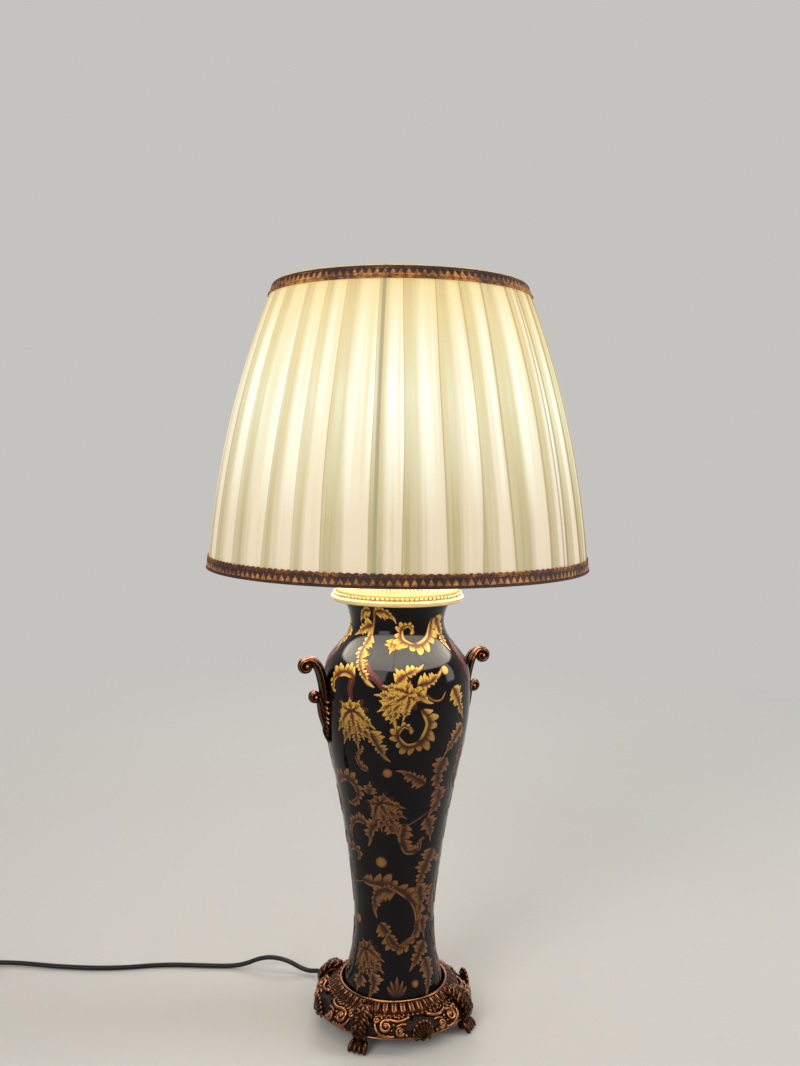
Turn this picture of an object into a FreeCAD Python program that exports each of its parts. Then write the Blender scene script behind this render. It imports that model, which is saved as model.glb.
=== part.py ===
import FreeCAD, Part
import math
import os

os.makedirs("parts", exist_ok=True)

# Baluster table lamp, millimetres. +Z is up, the floor is z = 0, the lamp's axis is the Z axis.
# -Y is the front, the two scroll handles lie along X and the four paw feet on the diagonals.

# Fits and clearances
running_gap = 0.05
face_gap = 0.1
seat_gap = 0.5
bolt_gap = 0.3
thread_gap = 0.12
weld_sink = 0.4

# Lamp pipe and its hardware
pipe_radius = 5.0
pipe_bore = 3.3
pipe_tail = 8.5
pipe_head = 9.0
nut_width = 17.0
nut_height = 6.0
washer_radius = 13.0
washer_thickness = 1.5

# Base ring with its tongue band
base_height = 41.0
base_recess = 7.0
base_floor = 4.0
ring_rim_width = 3.4
tongue_inset = 14.0
tongue_fall = 5.5

# Openwork skirt below the ring
skirt_radius = 80.0
skirt_wall = 4.0
skirt_edge_height = 15.0
skirt_wall_height = 6.0
skirt_collar_width = 8.0
skirt_hole_radius = 3.6
skirt_hole_count = 24
skirt_hole_inset = 11.5

# Paw feet
foot_leaf_width = 15.0
foot_leg_width = 10.0
foot_leaf_thickness = 5.0
paw_reach = 9.0
paw_length = 15.0
toe_radius = 2.7
toe_count = 4
toe_pitch = 4.6
sole_thickness = 2.2
foot_screw_radius = 2.0
foot_screw_length = 9.0
screw_head_radius = 3.4
screw_head_height = 2.5

# Shell pendants between the feet
pendant_width = 20.0
pendant_height = 20.0
pendant_bottom = 12.5
pendant_thickness = 5.0

# Vase, from the foot up: the length of each stretch of the outline and the radius at its end
gasket_thickness = 1.0
vase_wall = 5.0
vase_floor = 7.0
vase_foot_radius = 52.6
foot_flare_length = 37.0
foot_flare_radius = 43.6
waist_length = 32.0
waist_radius = 41.4
lower_taper_length = 59.0
lower_taper_radius = 46.7
middle_taper_length = 82.0
middle_taper_radius = 60.3
upper_swell_length = 61.0
upper_swell_radius = 72.9
shoulder_length = 44.0
shoulder_radius = 75.4
shoulder_turn_length = 28.0
shoulder_turn_radius = 69.5
shoulder_fall_length = 20.0
shoulder_fall_radius = 53.1
neck_length = 16.0
neck_radius = 47.5
lip_length = 23.0
lip_radius = 55.0

# Gilt cap on the vase's lip
cap_radius = 67.7
cap_height = 20.0
cap_lip_height = 4.0
cap_tier_width = 5.0
cap_wall = 4.0
cap_boss_radius = 14.0

# Scroll handles, measured out from the vase's axis and up from the shoulder's widest line
handle_wire_radius = 4.2
handle_curl_radius = 5.5
handle_small_wire_radius = 3.2
handle_small_curl_radius = 4.2
handle_reach = 24.0
handle_rise = 32.0
handle_small_reach = 15.0
pad_thickness = 4.5
pad_half_width = 12.0
pad_half_height = 26.0
pad_drop = 28.0
handle_small_drop = 40.0
handle_screw_radius = 2.0
handle_screw_spacing = 26.0
handle_head_radius = 4.0
handle_head_height = 3.0

# Neck above the cap
spacer_length = 44.0
spacer_radius = 7.0
spacer_foot_radius = 9.5
saddle_thickness = 1.5
saddle_width = 12.0
lock_nut_height = 4.0

# Harp
harp_wire_radius = 2.0
harp_height = 235.0
harp_foot_half_width = 30.0
harp_half_width = 55.0
harp_post_height = 8.0
harp_post_margin = 12.0
harp_knee_height = 72.0
harp_knee_inset = 4.0
harp_side_height = 118.0
harp_shoulder_drop = 38.0
harp_shoulder_inset = 11.0
harp_crown_inset = 2.0
ferrule_wall = 1.6
ferrule_length = 16.0
ferrule_travel = 12.0
stud_radius = 3.15
stud_length = 15.0
stud_block_radius = 6.0
stud_block_height = 6.5

# Lampholder
socket_radius = 16.9
socket_wall = 0.7
socket_cap_height = 15.5
socket_shell_height = 45.0
socket_shell_overlap = 4.0
socket_hub_radius = 8.0
socket_hub_height = 6.0
insulator_floor = 14.0
insulator_lift = 6.0
liner_bore = 13.25
liner_wall = 1.3
liner_height = 21.0
contact_radius = 5.0
contact_thickness = 1.2
switch_shaft_radius = 1.6
switch_shaft_length = 14.0
switch_shaft_depth = 5.0
switch_knob_radius = 5.5
switch_knob_length = 12.0

# Bulb
bulb_cap_radius = 13.2
bulb_cap_height = 25.0
bulb_cap_wall = 0.6
bulb_tip_radius = 4.4
bulb_tip_height = 3.5
bulb_globe_radius = 30.0
bulb_length = 108.0
bulb_glass_wall = 0.9

# Shade
shade_top_radius = 125.0
shade_bottom_radius = 190.0
shade_height = 280.0
shade_bow = 11.0
shade_recess = 13.0
pleat_count = 33
pleat_depth = 1.6
pleat_step_share = 0.14
pleat_section_count = 6
cloth_thickness = 0.9
facet_allowance = 0.9
trim_width = 13.0
trim_thickness = 1.6
frame_wire_radius = 1.5
rib_radius = 1.25
rib_count = 6
rib_first_angle = -117.3
spider_arm_count = 3
spider_arm_radius = 1.6
hub_radius = 13.0
hub_thickness = 1.6
spider_bend_inset = 22.0

# Finial
finial_height = 22.0
finial_radius = 8.0
finial_bush_radius = 4.5
finial_bush_length = 13.0

# Mains cord
cord_radius = 2.5
cord_length = 1800.0
gland_angle = 116.3
gland_height = 7.0
gland_reach = 12.0
gland_tail_length = 22.0
gland_lug_inset = 14.0
gland_lug_thickness = 4.0
gland_lug_width = 17.0
gland_lug_bottom = 1.0
gland_body_radius = 4.0
gland_flange_radius = 5.5
gland_flange_thickness = 1.5
gland_tip_wall = 0.9
lead_bend_radius = 15.0
coil_turns = 7
coil_pitch = 5.5
coil_lift = 3.4
coil_entry_angle = 73.7
tie_width = 8.0
tie_thickness = 0.5
tie_gap = 0.4

# Plug
plug_length = 36.0
plug_width = 26.0
plug_thickness = 14.0
plug_neck_width = 13.0
plug_relief_length = 16.0
plug_relief_radius = 4.6
blade_length = 18.0
blade_width = 6.3
blade_thickness = 1.5
blade_spacing = 12.7

# The cord's route on the floor, chosen by hand, from the gland to the coil's outer turn
lead_points = [
    (-47.9, 96.8, 7.0),
    (-63.0, 109.0, 3.2),
    (-82.0, 122.5, 14.0),
    (-104.0, 137.0, 14.6),
    (-129.0, 147.0, 2.6),
    (-164.0, 161.0, 2.6),
    (-209.0, 181.0, 2.6),
    (-262.0, 190.0, 2.6),
    (-318.0, 214.0, 2.6),
    (-372.0, 245.0, 3.4),
    (-424.0, 260.2, 3.4),
]
# The tail from the coil's upper turn to the plug: sideways and onward steps of each run, and the drop
tail_steps = [(0.0, 20.0, 0.0), (-6.0, 22.0, -1.9), (-10.0, 16.0, 0.0)]

up = FreeCAD.Vector(0, 0, 1)
origin = FreeCAD.Vector(0, 0, 0)

# Heights that follow from the sizes above
seat_height = base_height - base_recess
ring_underside = seat_height - base_floor
vase_bottom = seat_height + gasket_thickness
vase_outline = [(vase_foot_radius, vase_bottom)]
for stretch, radius in (
    (foot_flare_length, foot_flare_radius),
    (waist_length, waist_radius),
    (lower_taper_length, lower_taper_radius),
    (middle_taper_length, middle_taper_radius),
    (upper_swell_length, upper_swell_radius),
    (shoulder_length, shoulder_radius),
    (shoulder_turn_length, shoulder_turn_radius),
    (shoulder_fall_length, shoulder_fall_radius),
    (neck_length, neck_radius),
    (lip_length, lip_radius),
):
    vase_outline.append((radius, vase_outline[-1][1] + stretch))
shoulder_height = vase_outline[6][1]
vase_top = vase_outline[-1][1]
cap_seat = vase_top + gasket_thickness
cap_top = cap_seat + cap_height
saddle_bottom = cap_top + spacer_length
saddle_top = saddle_bottom + saddle_thickness
socket_bottom = saddle_top + lock_nut_height
pipe_top = socket_bottom + pipe_head
pipe_bottom = ring_underside - washer_thickness - pipe_tail
hub_bottom = saddle_bottom + harp_height
hub_top = hub_bottom + hub_thickness
shade_top = hub_bottom + shade_recess
shade_bottom = shade_top - shade_height
shell_bottom = socket_bottom + socket_cap_height - socket_shell_overlap
shell_top = shell_bottom + socket_shell_height
insulator_bottom = shell_bottom + insulator_lift
insulator_top = insulator_bottom + insulator_floor
bulb_tip_bottom = insulator_top + contact_thickness + 3 * face_gap
pipe_hole = pipe_radius + running_gap
tongue_radius = skirt_radius - tongue_inset
skirt_inside = skirt_radius - 1.0 - skirt_wall
gland_lug_radius = skirt_radius - gland_lug_inset
gland_end_radius = skirt_radius + gland_reach


def vec(x, y, z):
    return FreeCAD.Vector(x, y, z)


def polar(radius, degrees, z=0.0):
    angle = math.radians(degrees)
    return vec(radius * math.cos(angle), radius * math.sin(angle), z)


def turned(outline):
    """Solid of revolution about Z of a closed outline of (radius, height) points."""
    points = [vec(r, 0, z) for r, z in outline]
    wire = Part.makePolygon(points + [points[0]])
    return Part.Face(wire).revolve(origin, up, 360)


def tube(outer, inner, low, high):
    return Part.makeCylinder(outer, high - low, vec(0, 0, low)).cut(
        Part.makeCylinder(inner, high - low + 2, vec(0, 0, low - 1)))


def rod(start, end, radius):
    return Part.makeCylinder(radius, (end - start).Length, start, end - start)


def hex_nut(width, bore, low, height):
    corner = width / math.sqrt(3)
    points = [polar(corner, 60 * k, low) for k in range(7)]
    body = Part.Face(Part.makePolygon(points)).extrude(vec(0, 0, height))
    return body.cut(Part.makeCylinder(bore, height + 2, vec(0, 0, low - 1)))


def plate(outline, width):
    """Slab in the XZ plane, centred on y = 0, from (x, z) points."""
    points = [vec(x, -width / 2, z) for x, z in outline]
    return Part.Face(Part.makePolygon(points + [points[0]])).extrude(vec(0, width, 0))


def around(shape, degrees):
    copy = shape.copy()
    copy.rotate(origin, up, degrees)
    return copy


def joined(shapes):
    return shapes[0].fuse(shapes[1:]).removeSplitter()


def save(shape, node):
    if len(shape.Solids) == 1:
        shape = shape.Solids[0]
    if not shape.isValid():
        print("not valid:", node)
    shape.exportStep("parts/" + node + ".step")
    return shape


def rounded_edges(points, name):
    """Straight runs joined by tangent arcs, each as large as its two runs allow."""
    edges = []
    start = points[0]
    radii = []
    for before, corner, after in zip(points, points[1:], points[2:]):
        back = before - corner
        ahead = after - corner
        reach = 0.45 * min(back.Length, ahead.Length)
        back.normalize()
        ahead.normalize()
        turn = math.pi - back.getAngle(ahead)
        radius = reach / math.tan(turn / 2)
        middle = back + ahead
        middle.normalize()
        inset = radius * (1 / math.cos(turn / 2) - 1)
        first = corner + back * reach
        last = corner + ahead * reach
        edges.append(Part.LineSegment(start, first).toShape())
        edges.append(Part.Arc(first, corner + middle * inset, last).toShape())
        start = last
        radii.append(round(radius, 1))
    edges.append(Part.LineSegment(start, points[-1]).toShape())
    print(name, "bend radii", radii)
    return edges


def swept(edges, radius, name):
    """Round tube along tangent edges, checked against its section times its length."""
    path = Part.Wire(edges)
    start = edges[0].valueAt(edges[0].FirstParameter)
    heading = edges[0].tangentAt(edges[0].FirstParameter)
    profile = Part.Wire([Part.makeCircle(radius, start, heading)])
    solid = path.makePipeShell([profile], True, False)
    share = solid.Volume / (math.pi * radius ** 2 * path.Length)
    print(name, "length", round(path.Length, 2), "volume share", round(share, 5), solid.isValid())
    return solid, path.Length


def biarc(start, heading, end, final):
    """Two tangent arcs from one point and heading to another."""
    span = end - start
    both = heading + final
    square = 4 - both.dot(both)
    lean = span.dot(both)
    reach = (-lean + math.sqrt(lean ** 2 + square * span.dot(span))) / square
    first = start + heading * reach
    last = end - final * reach
    middle = (first + last) * 0.5
    edges = []
    for a, corner, b in ((start, first, middle), (middle, last, end)):
        to_a = a - corner
        to_b = b - corner
        size = to_a.Length
        half = (math.pi - to_a.getAngle(to_b)) / 2
        inward = to_a + to_b
        inward.normalize()
        bulge = size / math.tan(half) * (1 / math.cos(half) - 1)
        edges.append(Part.Arc(a, corner + inward * bulge, b).toShape())
    return edges


def vase_spline(offset, first):
    points = [vec(r - offset, 0, z) for r, z in vase_outline]
    if first:
        points[0] = first
    curve = Part.BSplineCurve()
    curve.interpolate(points)
    return curve.toShape(), points


def make_vase():
    outer, outer_points = vase_spline(0, None)
    floor_top = vase_bottom + vase_floor
    share = vase_floor / foot_flare_length
    floor_radius = vase_foot_radius + (foot_flare_radius - vase_foot_radius) * share - vase_wall
    inner, inner_points = vase_spline(vase_wall, vec(floor_radius, 0, floor_top))
    hole = pipe_radius + seat_gap
    corners = [vec(hole, 0, floor_top), vec(hole, 0, vase_bottom)]
    edges = [
        outer,
        Part.makeLine(outer_points[-1], inner_points[-1]),
        inner,
        Part.makeLine(inner_points[0], corners[0]),
        Part.makeLine(corners[0], corners[1]),
        Part.makeLine(corners[1], outer_points[0]),
    ]
    body = Part.Face(Part.Wire(Part.__sortEdges__(edges))).revolve(origin, up, 360)
    axis_low = vec(0, 0, vase_bottom)
    axis_high = vec(0, 0, vase_top)
    filled = [
        outer,
        Part.makeLine(outer_points[-1], axis_high),
        Part.makeLine(axis_high, axis_low),
        Part.makeLine(axis_low, outer_points[0]),
    ]
    solid = Part.Face(Part.Wire(Part.__sortEdges__(filled))).revolve(origin, up, 360)
    return body, solid


def make_base_ring():
    recess_radius = vase_foot_radius + seat_gap
    rim_radius = recess_radius + ring_rim_width
    tongue_top = base_height - 2.4
    return turned([
        (pipe_hole, ring_underside),
        (tongue_radius - 2.0, ring_underside),
        (tongue_radius, tongue_top - tongue_fall),
        (rim_radius, tongue_top),
        (rim_radius, base_height - 1.0),
        (rim_radius - 1.0, base_height),
        (recess_radius, base_height),
        (recess_radius, seat_height),
        (pipe_hole, seat_height),
    ])


def make_skirt():
    inside = skirt_inside
    collar = tongue_radius - skirt_collar_width
    top = ring_underside
    outline = [
        (collar, top),
        (tongue_radius - 2.0, top),
        (skirt_radius - 6.0, top - 3.0),
        (skirt_radius - 1.0, top - 7.0),
        (skirt_radius, top - 11.0),
        (skirt_radius - 1.0, skirt_edge_height),
        (inside, skirt_edge_height),
        (inside, skirt_edge_height + skirt_wall_height),
        (inside - 2.0, top - skirt_wall - 3.5),
        (inside - 6.0, top - skirt_wall - 1.5),
        (collar, top - skirt_wall),
    ]
    body = turned(outline)
    full = body.copy()
    cutters = []
    for k in range(skirt_hole_count):
        centre = polar(skirt_radius - skirt_hole_inset, 360 / skirt_hole_count * (k + 0.5), 0)
        cutters.append(Part.makeCylinder(skirt_hole_radius, base_height, centre))
    body = body.cut(Part.makeCompound(cutters))
    lug_height = top - skirt_wall / 2 - gland_lug_bottom
    lug = Part.makeBox(gland_lug_thickness, gland_lug_width, lug_height,
                       vec(gland_lug_radius - gland_lug_thickness, -gland_lug_width / 2, gland_lug_bottom))
    bore = rod(vec(0, 0, gland_height), vec(skirt_radius - 8, 0, gland_height), gland_body_radius)
    lug = around(lug.cut(bore), gland_angle)
    body = joined([body, lug])
    for angle in (45, 135, 225, 315):
        hole = rod(polar(inside - 5, angle, foot_screw_height()),
                   polar(skirt_radius + 5, angle, foot_screw_height()), foot_screw_radius)
        body = body.cut(hole)
    return body, full


def foot_screw_height():
    return skirt_edge_height + skirt_wall_height / 2


def make_foot(ring, skirt):
    top = base_height
    out = skirt_radius
    leaf = plate([
        (out - 17, top - 5.5),
        (out - 15, top - 1.5),
        (out - 7, top - 2.0),
        (out, top - 7),
        (out + foot_leaf_thickness, top - 15),
        (out + foot_leaf_thickness, top - 24),
        (out - 2, top - 27),
        (out - 6, top - 14),
    ], foot_leaf_width)
    leg_back = skirt_inside + face_gap
    leg = plate([
        (leg_back, skirt_edge_height + 4),
        (out + foot_leaf_thickness, skirt_edge_height + 6),
        (out + 2.5, skirt_edge_height - 4),
        (out + 3.5, toe_radius),
        (out - 6, toe_radius),
        (leg_back, skirt_edge_height - 4),
    ], foot_leg_width)
    heel = out + paw_reach - paw_length
    pieces = [leaf, leg]
    span = toe_pitch * (toe_count - 1)
    sole = Part.makeBox(paw_length - toe_radius, span, sole_thickness, vec(heel, -span / 2, 0))
    instep = Part.makeBox(paw_length / 2, span, 2 * toe_radius, vec(heel, -span / 2, 0))
    pieces += [sole, instep]
    for k in range(toe_count):
        side = toe_pitch * (k - (toe_count - 1) / 2)
        tip = vec(out + paw_reach - toe_radius, side, toe_radius)
        pieces.append(rod(vec(heel, side, toe_radius), tip, toe_radius))
        pieces.append(Part.makeSphere(toe_radius, tip))
    foot = around(joined(pieces), 45)
    screw = rod(polar(out - 4, 45, foot_screw_height()),
                polar(skirt_inside + foot_screw_length + thread_gap, 45, foot_screw_height()),
                foot_screw_radius + thread_gap)
    foot = foot.cut(skirt).cut(ring).cut(screw)
    return max(foot.Solids, key=lambda s: s.Volume)


def make_pendant(skirt, ring):
    half = pendant_width / 2
    top = pendant_bottom + pendant_height
    low = pendant_bottom
    points = [
        (-half * 0.35, top), (half * 0.35, top), (half * 0.75, top - 5), (half, top - 9),
        (half * 0.9, low + 5), (half * 0.45, low + 1.5), (0, low), (-half * 0.45, low + 1.5),
        (-half * 0.9, low + 5), (-half, top - 9), (-half * 0.75, top - 5),
    ]
    ring_points = [vec(skirt_radius - 6, y, z) for y, z in points]
    body = Part.Face(Part.makePolygon(ring_points + [ring_points[0]])).extrude(
        vec(6 + pendant_thickness, 0, 0))
    lens = Part.makeSphere(18, vec(skirt_radius + pendant_thickness - 17, 0, low + 9))
    body = body.common(lens)
    body = body.cut(skirt).cut(ring)
    wall = Part.makeCylinder(skirt_radius - 0.9, 2 * base_height, origin)
    body = body.cut(wall)
    return max(body.Solids, key=lambda s: s.Volume)


def make_cap():
    tier = cap_radius - cap_tier_width
    lip_low = cap_seat - 1.5
    recess = lip_radius + seat_gap
    ledge = lip_radius - vase_wall - 3.5
    return turned([
        (pipe_hole, cap_top),
        (cap_boss_radius, cap_top),
        (cap_boss_radius + 9, cap_top - 2),
        (tier - 17, cap_top - 3.5),
        (tier - 4.5, cap_top - 6.5),
        (tier, lip_low + cap_lip_height + 6.0),
        (tier + 0.8, lip_low + cap_lip_height + 2.5),
        (cap_radius - 1.5, lip_low + cap_lip_height + 1.5),
        (cap_radius, lip_low + cap_lip_height),
        (cap_radius, lip_low + 1),
        (cap_radius - 1.5, lip_low),
        (recess, lip_low),
        (recess, cap_seat),
        (ledge, cap_seat),
        (ledge - 2, cap_top - 3.5 - 2 * cap_wall),
        (cap_boss_radius + 9, cap_top - 2 - cap_wall),
        (pipe_hole, cap_top - cap_wall),
    ])


def scroll_edges(points):
    """Smooth chain of biarcs through (x, z) points, heading along the chord of each point's neighbours."""
    places = [vec(x, 0, z) for x, z in points]
    count = len(places)
    headings = []
    for k in range(count):
        heading = places[min(k + 1, count - 1)] - places[max(k - 1, 0)]
        heading.normalize()
        headings.append(heading)
    edges = []
    for k in range(count - 1):
        edges += biarc(places[k], headings[k], places[k + 1], headings[k + 1])
    return edges


def make_handle(vase_filled):
    body = shoulder_radius
    mid = shoulder_height
    tip = body + handle_reach
    top = mid + handle_rise
    main_edges = scroll_edges([
        (body - 1.5, mid - 30), (body + 1.0, mid - 6), (body + 4.0, mid + 12), (body + 10.0, top - 5),
        (tip - 7.0, top - 1.5), (tip, top - 7),
    ])
    arm, _ = swept(main_edges, handle_wire_radius, "handle arm")
    curl = rod(vec(tip - 2.5, -handle_wire_radius, top - 9), vec(tip - 2.5, handle_wire_radius, top - 9),
               handle_curl_radius)
    small_tip = body + handle_small_reach
    small_edges = scroll_edges([
        (body - 1.0, mid - handle_small_drop), (body + 4.0, mid - 20), (body + 8.5, mid - 7), (small_tip, mid - 1),
    ])
    small, _ = swept(small_edges, handle_small_wire_radius, "small scroll")
    small_curl = Part.makeSphere(handle_small_curl_radius, vec(small_tip, 0, mid - 2))
    raised, _ = vase_spline(-pad_thickness, None)
    ends = [raised.valueAt(raised.FirstParameter), raised.valueAt(raised.LastParameter)]
    low = min(ends, key=lambda p: p.z)
    high = max(ends, key=lambda p: p.z)
    axis_low = vec(0, 0, low.z)
    axis_high = vec(0, 0, high.z)
    wire = Part.Wire(Part.__sortEdges__([
        raised, Part.makeLine(high, axis_high), Part.makeLine(axis_high, axis_low),
        Part.makeLine(axis_low, low)]))
    blanket = Part.Face(wire).revolve(origin, up, 360)
    oval = Part.Ellipse(origin, pad_half_height, pad_half_width)
    pad_face = Part.Face(Part.Wire([oval.toShape()]))
    pad_face.rotate(origin, vec(0, 1, 0), 90)
    pad_face.translate(vec(shoulder_radius / 2, 0, mid - pad_drop))
    handle = pad_face.extrude(vec(shoulder_radius, 0, 0)).common(blanket).cut(vase_filled)
    for piece in (arm.cut(vase_filled), curl, small.cut(vase_filled), small_curl):
        handle = handle.fuse(piece)
    return max(handle.Solids, key=lambda s: s.Volume)


def handle_screw_heights():
    middle = shoulder_height - pad_drop
    return [middle - handle_screw_spacing / 2, middle + handle_screw_spacing / 2]


def surface_radius(z):
    """Radius of the vase between the outline's points, by straight lines."""
    for (r0, z0), (r1, z1) in zip(vase_outline, vase_outline[1:]):
        if z0 <= z <= z1:
            return r0 + (r1 - r0) * (z - z0) / (z1 - z0)
    return vase_outline[-1][0]


def make_handle_screw(z, vase_body, side):
    inner = surface_radius(z) - vase_wall
    head = rod(vec(inner - handle_head_height, 0, z), vec(inner + 1.5, 0, z), handle_head_radius)
    if side < 0:
        head = around(head, 180)
    head = head.cut(vase_body)
    head = min(head.Solids, key=lambda s: abs(abs(s.CenterOfMass.x) - inner + handle_head_height / 2))
    shank = rod(vec(inner - 1, 0, z), vec(inner + vase_wall + pad_thickness - 1.5, 0, z), handle_screw_radius)
    if side < 0:
        shank = around(shank, 180)
    return joined([head, shank])


def arc_data():
    """Centre and radius of the shade's bowed outline in the (radius, height) plane."""
    chord = math.hypot(shade_bottom_radius - shade_top_radius, shade_height)
    radius = (chord ** 2 / 4 + shade_bow ** 2) / (2 * shade_bow)
    middle_r = (shade_bottom_radius + shade_top_radius) / 2
    middle_z = (shade_bottom + shade_top) / 2
    out_r = shade_height / chord
    out_z = (shade_bottom_radius - shade_top_radius) / chord
    away = radius - shade_bow
    return middle_r - out_r * away, middle_z - out_z * away, radius


def shade_radius(z):
    centre_r, centre_z, radius = arc_data()
    return centre_r + math.sqrt(radius ** 2 - (z - centre_z) ** 2)


def pleat_ring(z):
    points = []
    pitch = 360 / pleat_count
    tip = shade_radius(z)
    for k in range(pleat_count):
        angle = k * pitch
        points.append(polar(tip - pleat_depth, angle - pitch * pleat_step_share, z))
        points.append(polar(tip, angle, z))
    return Part.makePolygon(points + [points[0]])


def cloth_inset():
    return pleat_depth + cloth_thickness + facet_allowance


def make_cloth():
    steps = pleat_section_count - 1
    sections = [pleat_ring(shade_bottom + shade_height * k / steps) for k in range(pleat_section_count)]
    outer = Part.makeLoft(sections, True, True)
    inset = cloth_inset()
    low = vec(shade_radius(shade_bottom) - inset, 0, shade_bottom)
    middle_z = (shade_bottom + shade_top) / 2
    middle = vec(shade_radius(middle_z) - inset, 0, middle_z)
    high = vec(shade_radius(shade_top) - inset, 0, shade_top)
    lowest = vec(low.x, 0, low.z - 5)
    highest = vec(high.x, 0, high.z + 5)
    wire = Part.Wire([
        Part.makeLine(vec(0, 0, lowest.z), lowest),
        Part.makeLine(lowest, low),
        Part.Arc(low, middle, high).toShape(),
        Part.makeLine(high, highest),
        Part.makeLine(highest, vec(0, 0, highest.z)),
        Part.makeLine(vec(0, 0, highest.z), vec(0, 0, lowest.z)),
    ])
    core = Part.Face(wire).revolve(origin, up, 360)
    return outer.cut(core)


def make_trim(low):
    high = low + trim_width
    gap = 0.02
    return turned([
        (shade_radius(low) + gap, low),
        (shade_radius(low) + trim_thickness, low),
        (shade_radius(high) + trim_thickness, high),
        (shade_radius(high) + gap, high),
    ])


def frame_ring(z):
    major = shade_radius(z) - cloth_inset() - frame_wire_radius + 0.15
    return Part.makeTorus(major, frame_wire_radius, vec(0, 0, z), up), major


def make_rib(angle, rings):
    low = shade_bottom + frame_wire_radius
    high = shade_top - frame_wire_radius
    middle = (low + high) / 2
    inset = cloth_inset() + rib_radius + 0.1
    points = [polar(shade_radius(z) - inset, angle, z) for z in (low, middle, high)]
    edge = Part.Arc(*points).toShape()
    profile = Part.Wire([Part.makeCircle(rib_radius, points[0], edge.tangentAt(edge.FirstParameter))])
    rib = Part.Wire([edge]).makePipeShell([profile], True, False)
    for ring in rings:
        rib = rib.cut(ring)
    return max(rib.Solids, key=lambda s: s.Volume)


def make_spider(top_ring, ring_major):
    hub = tube(hub_radius, stud_radius + running_gap, hub_bottom, hub_top)
    arm_height = hub_top + spider_arm_radius - weld_sink
    inner = finial_radius + 1.4
    ring_height = shade_top - frame_wire_radius
    points = [
        vec(inner, 0, arm_height),
        vec(ring_major - spider_bend_inset, 0, arm_height),
        vec(ring_major, 0, ring_height),
    ]
    arm, _ = swept(rounded_edges(points, "spider arm"), spider_arm_radius, "spider arm")
    arm = arm.cut(around(top_ring, -rib_first_angle))
    arm = max(arm.Solids, key=lambda s: s.Volume)
    turn = 360 / spider_arm_count
    arms = [around(arm, rib_first_angle + turn * k) for k in range(spider_arm_count)]
    return joined([hub] + arms)


def make_harp():
    foot = harp_foot_half_width
    wide = harp_half_width
    low = saddle_top + harp_post_height
    top = hub_bottom - stud_block_height / 2
    side = [
        (foot, low), (foot, low + ferrule_length + ferrule_travel + harp_post_margin),
        (wide - harp_knee_inset, low + harp_knee_height), (wide, low + harp_side_height),
        (wide - harp_shoulder_inset, top - harp_shoulder_drop), (foot - harp_crown_inset, top),
    ]
    points = [vec(x, 0, z) for x, z in side]
    mirrored = [vec(-p.x, 0, p.z) for p in reversed(points)]
    harp, _ = swept(rounded_edges(points + mirrored, "harp"), harp_wire_radius, "harp")
    return harp, low, top


def make_saddle():
    foot = harp_foot_half_width
    strip = Part.makeBox(2 * foot, saddle_width, saddle_thickness,
                         vec(-foot, -saddle_width / 2, saddle_bottom))
    pieces = [strip]
    for side in (-1, 1):
        pieces.append(Part.makeCylinder(saddle_width / 2, saddle_thickness, vec(side * foot, 0, saddle_bottom)))
        pieces.append(Part.makeCylinder(harp_wire_radius, saddle_thickness + harp_post_height,
                                        vec(side * foot, 0, saddle_bottom)))
    return joined(pieces).cut(Part.makeCylinder(pipe_hole, 20, vec(0, 0, saddle_bottom - 5)))


def make_ferrule(side):
    bore = harp_wire_radius + running_gap
    low = saddle_top + face_gap
    shape = tube(bore + ferrule_wall, bore, low, low + ferrule_length)
    shape.translate(vec(side * harp_foot_half_width, 0, 0))
    return shape


def switch_height():
    return insulator_bottom + insulator_floor / 2


def switch_hole():
    deep = socket_radius - switch_shaft_depth
    return rod(vec(0, -deep + face_gap, switch_height()), vec(0, -socket_radius - 5, switch_height()),
               switch_shaft_radius + running_gap)


def make_socket_cap():
    rim = socket_radius + socket_wall
    hub_top_height = socket_bottom + socket_hub_height
    top = socket_bottom + socket_cap_height
    return turned([
        (pipe_radius, socket_bottom),
        (socket_hub_radius, socket_bottom),
        (socket_hub_radius + 1.5, socket_bottom + 3),
        (rim - 2.0, top - 8),
        (rim, top - 5),
        (rim, top),
        (socket_radius, top),
        (socket_radius, shell_bottom),
        (rim - 2.8, top - 7),
        (socket_hub_radius + 0.5, hub_top_height),
        (pipe_radius, hub_top_height),
    ])


def make_insulator():
    outer = socket_radius - socket_wall
    cup = liner_bore + liner_wall
    top = insulator_top + liner_height + 1
    return turned([
        (0, insulator_bottom),
        (outer, insulator_bottom),
        (outer, top),
        (cup, top),
        (cup, insulator_top),
        (0, insulator_top),
    ]).cut(switch_hole())


def make_switch_knob():
    z = switch_height()
    inner = socket_radius - switch_shaft_depth
    shaft_end = -inner - switch_shaft_length
    shaft = rod(vec(0, -inner, z), vec(0, shaft_end, z), switch_shaft_radius)
    knob_end = vec(0, shaft_end - switch_knob_length + 2, z)
    knob = rod(vec(0, shaft_end + 2, z), knob_end, switch_knob_radius)
    key = Part.makeBox(2.4, switch_knob_length - 3, 2 * switch_knob_radius + 5,
                       vec(-1.2, knob_end.y, z - switch_knob_radius - 2.5))
    return joined([shaft, knob, key])


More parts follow.
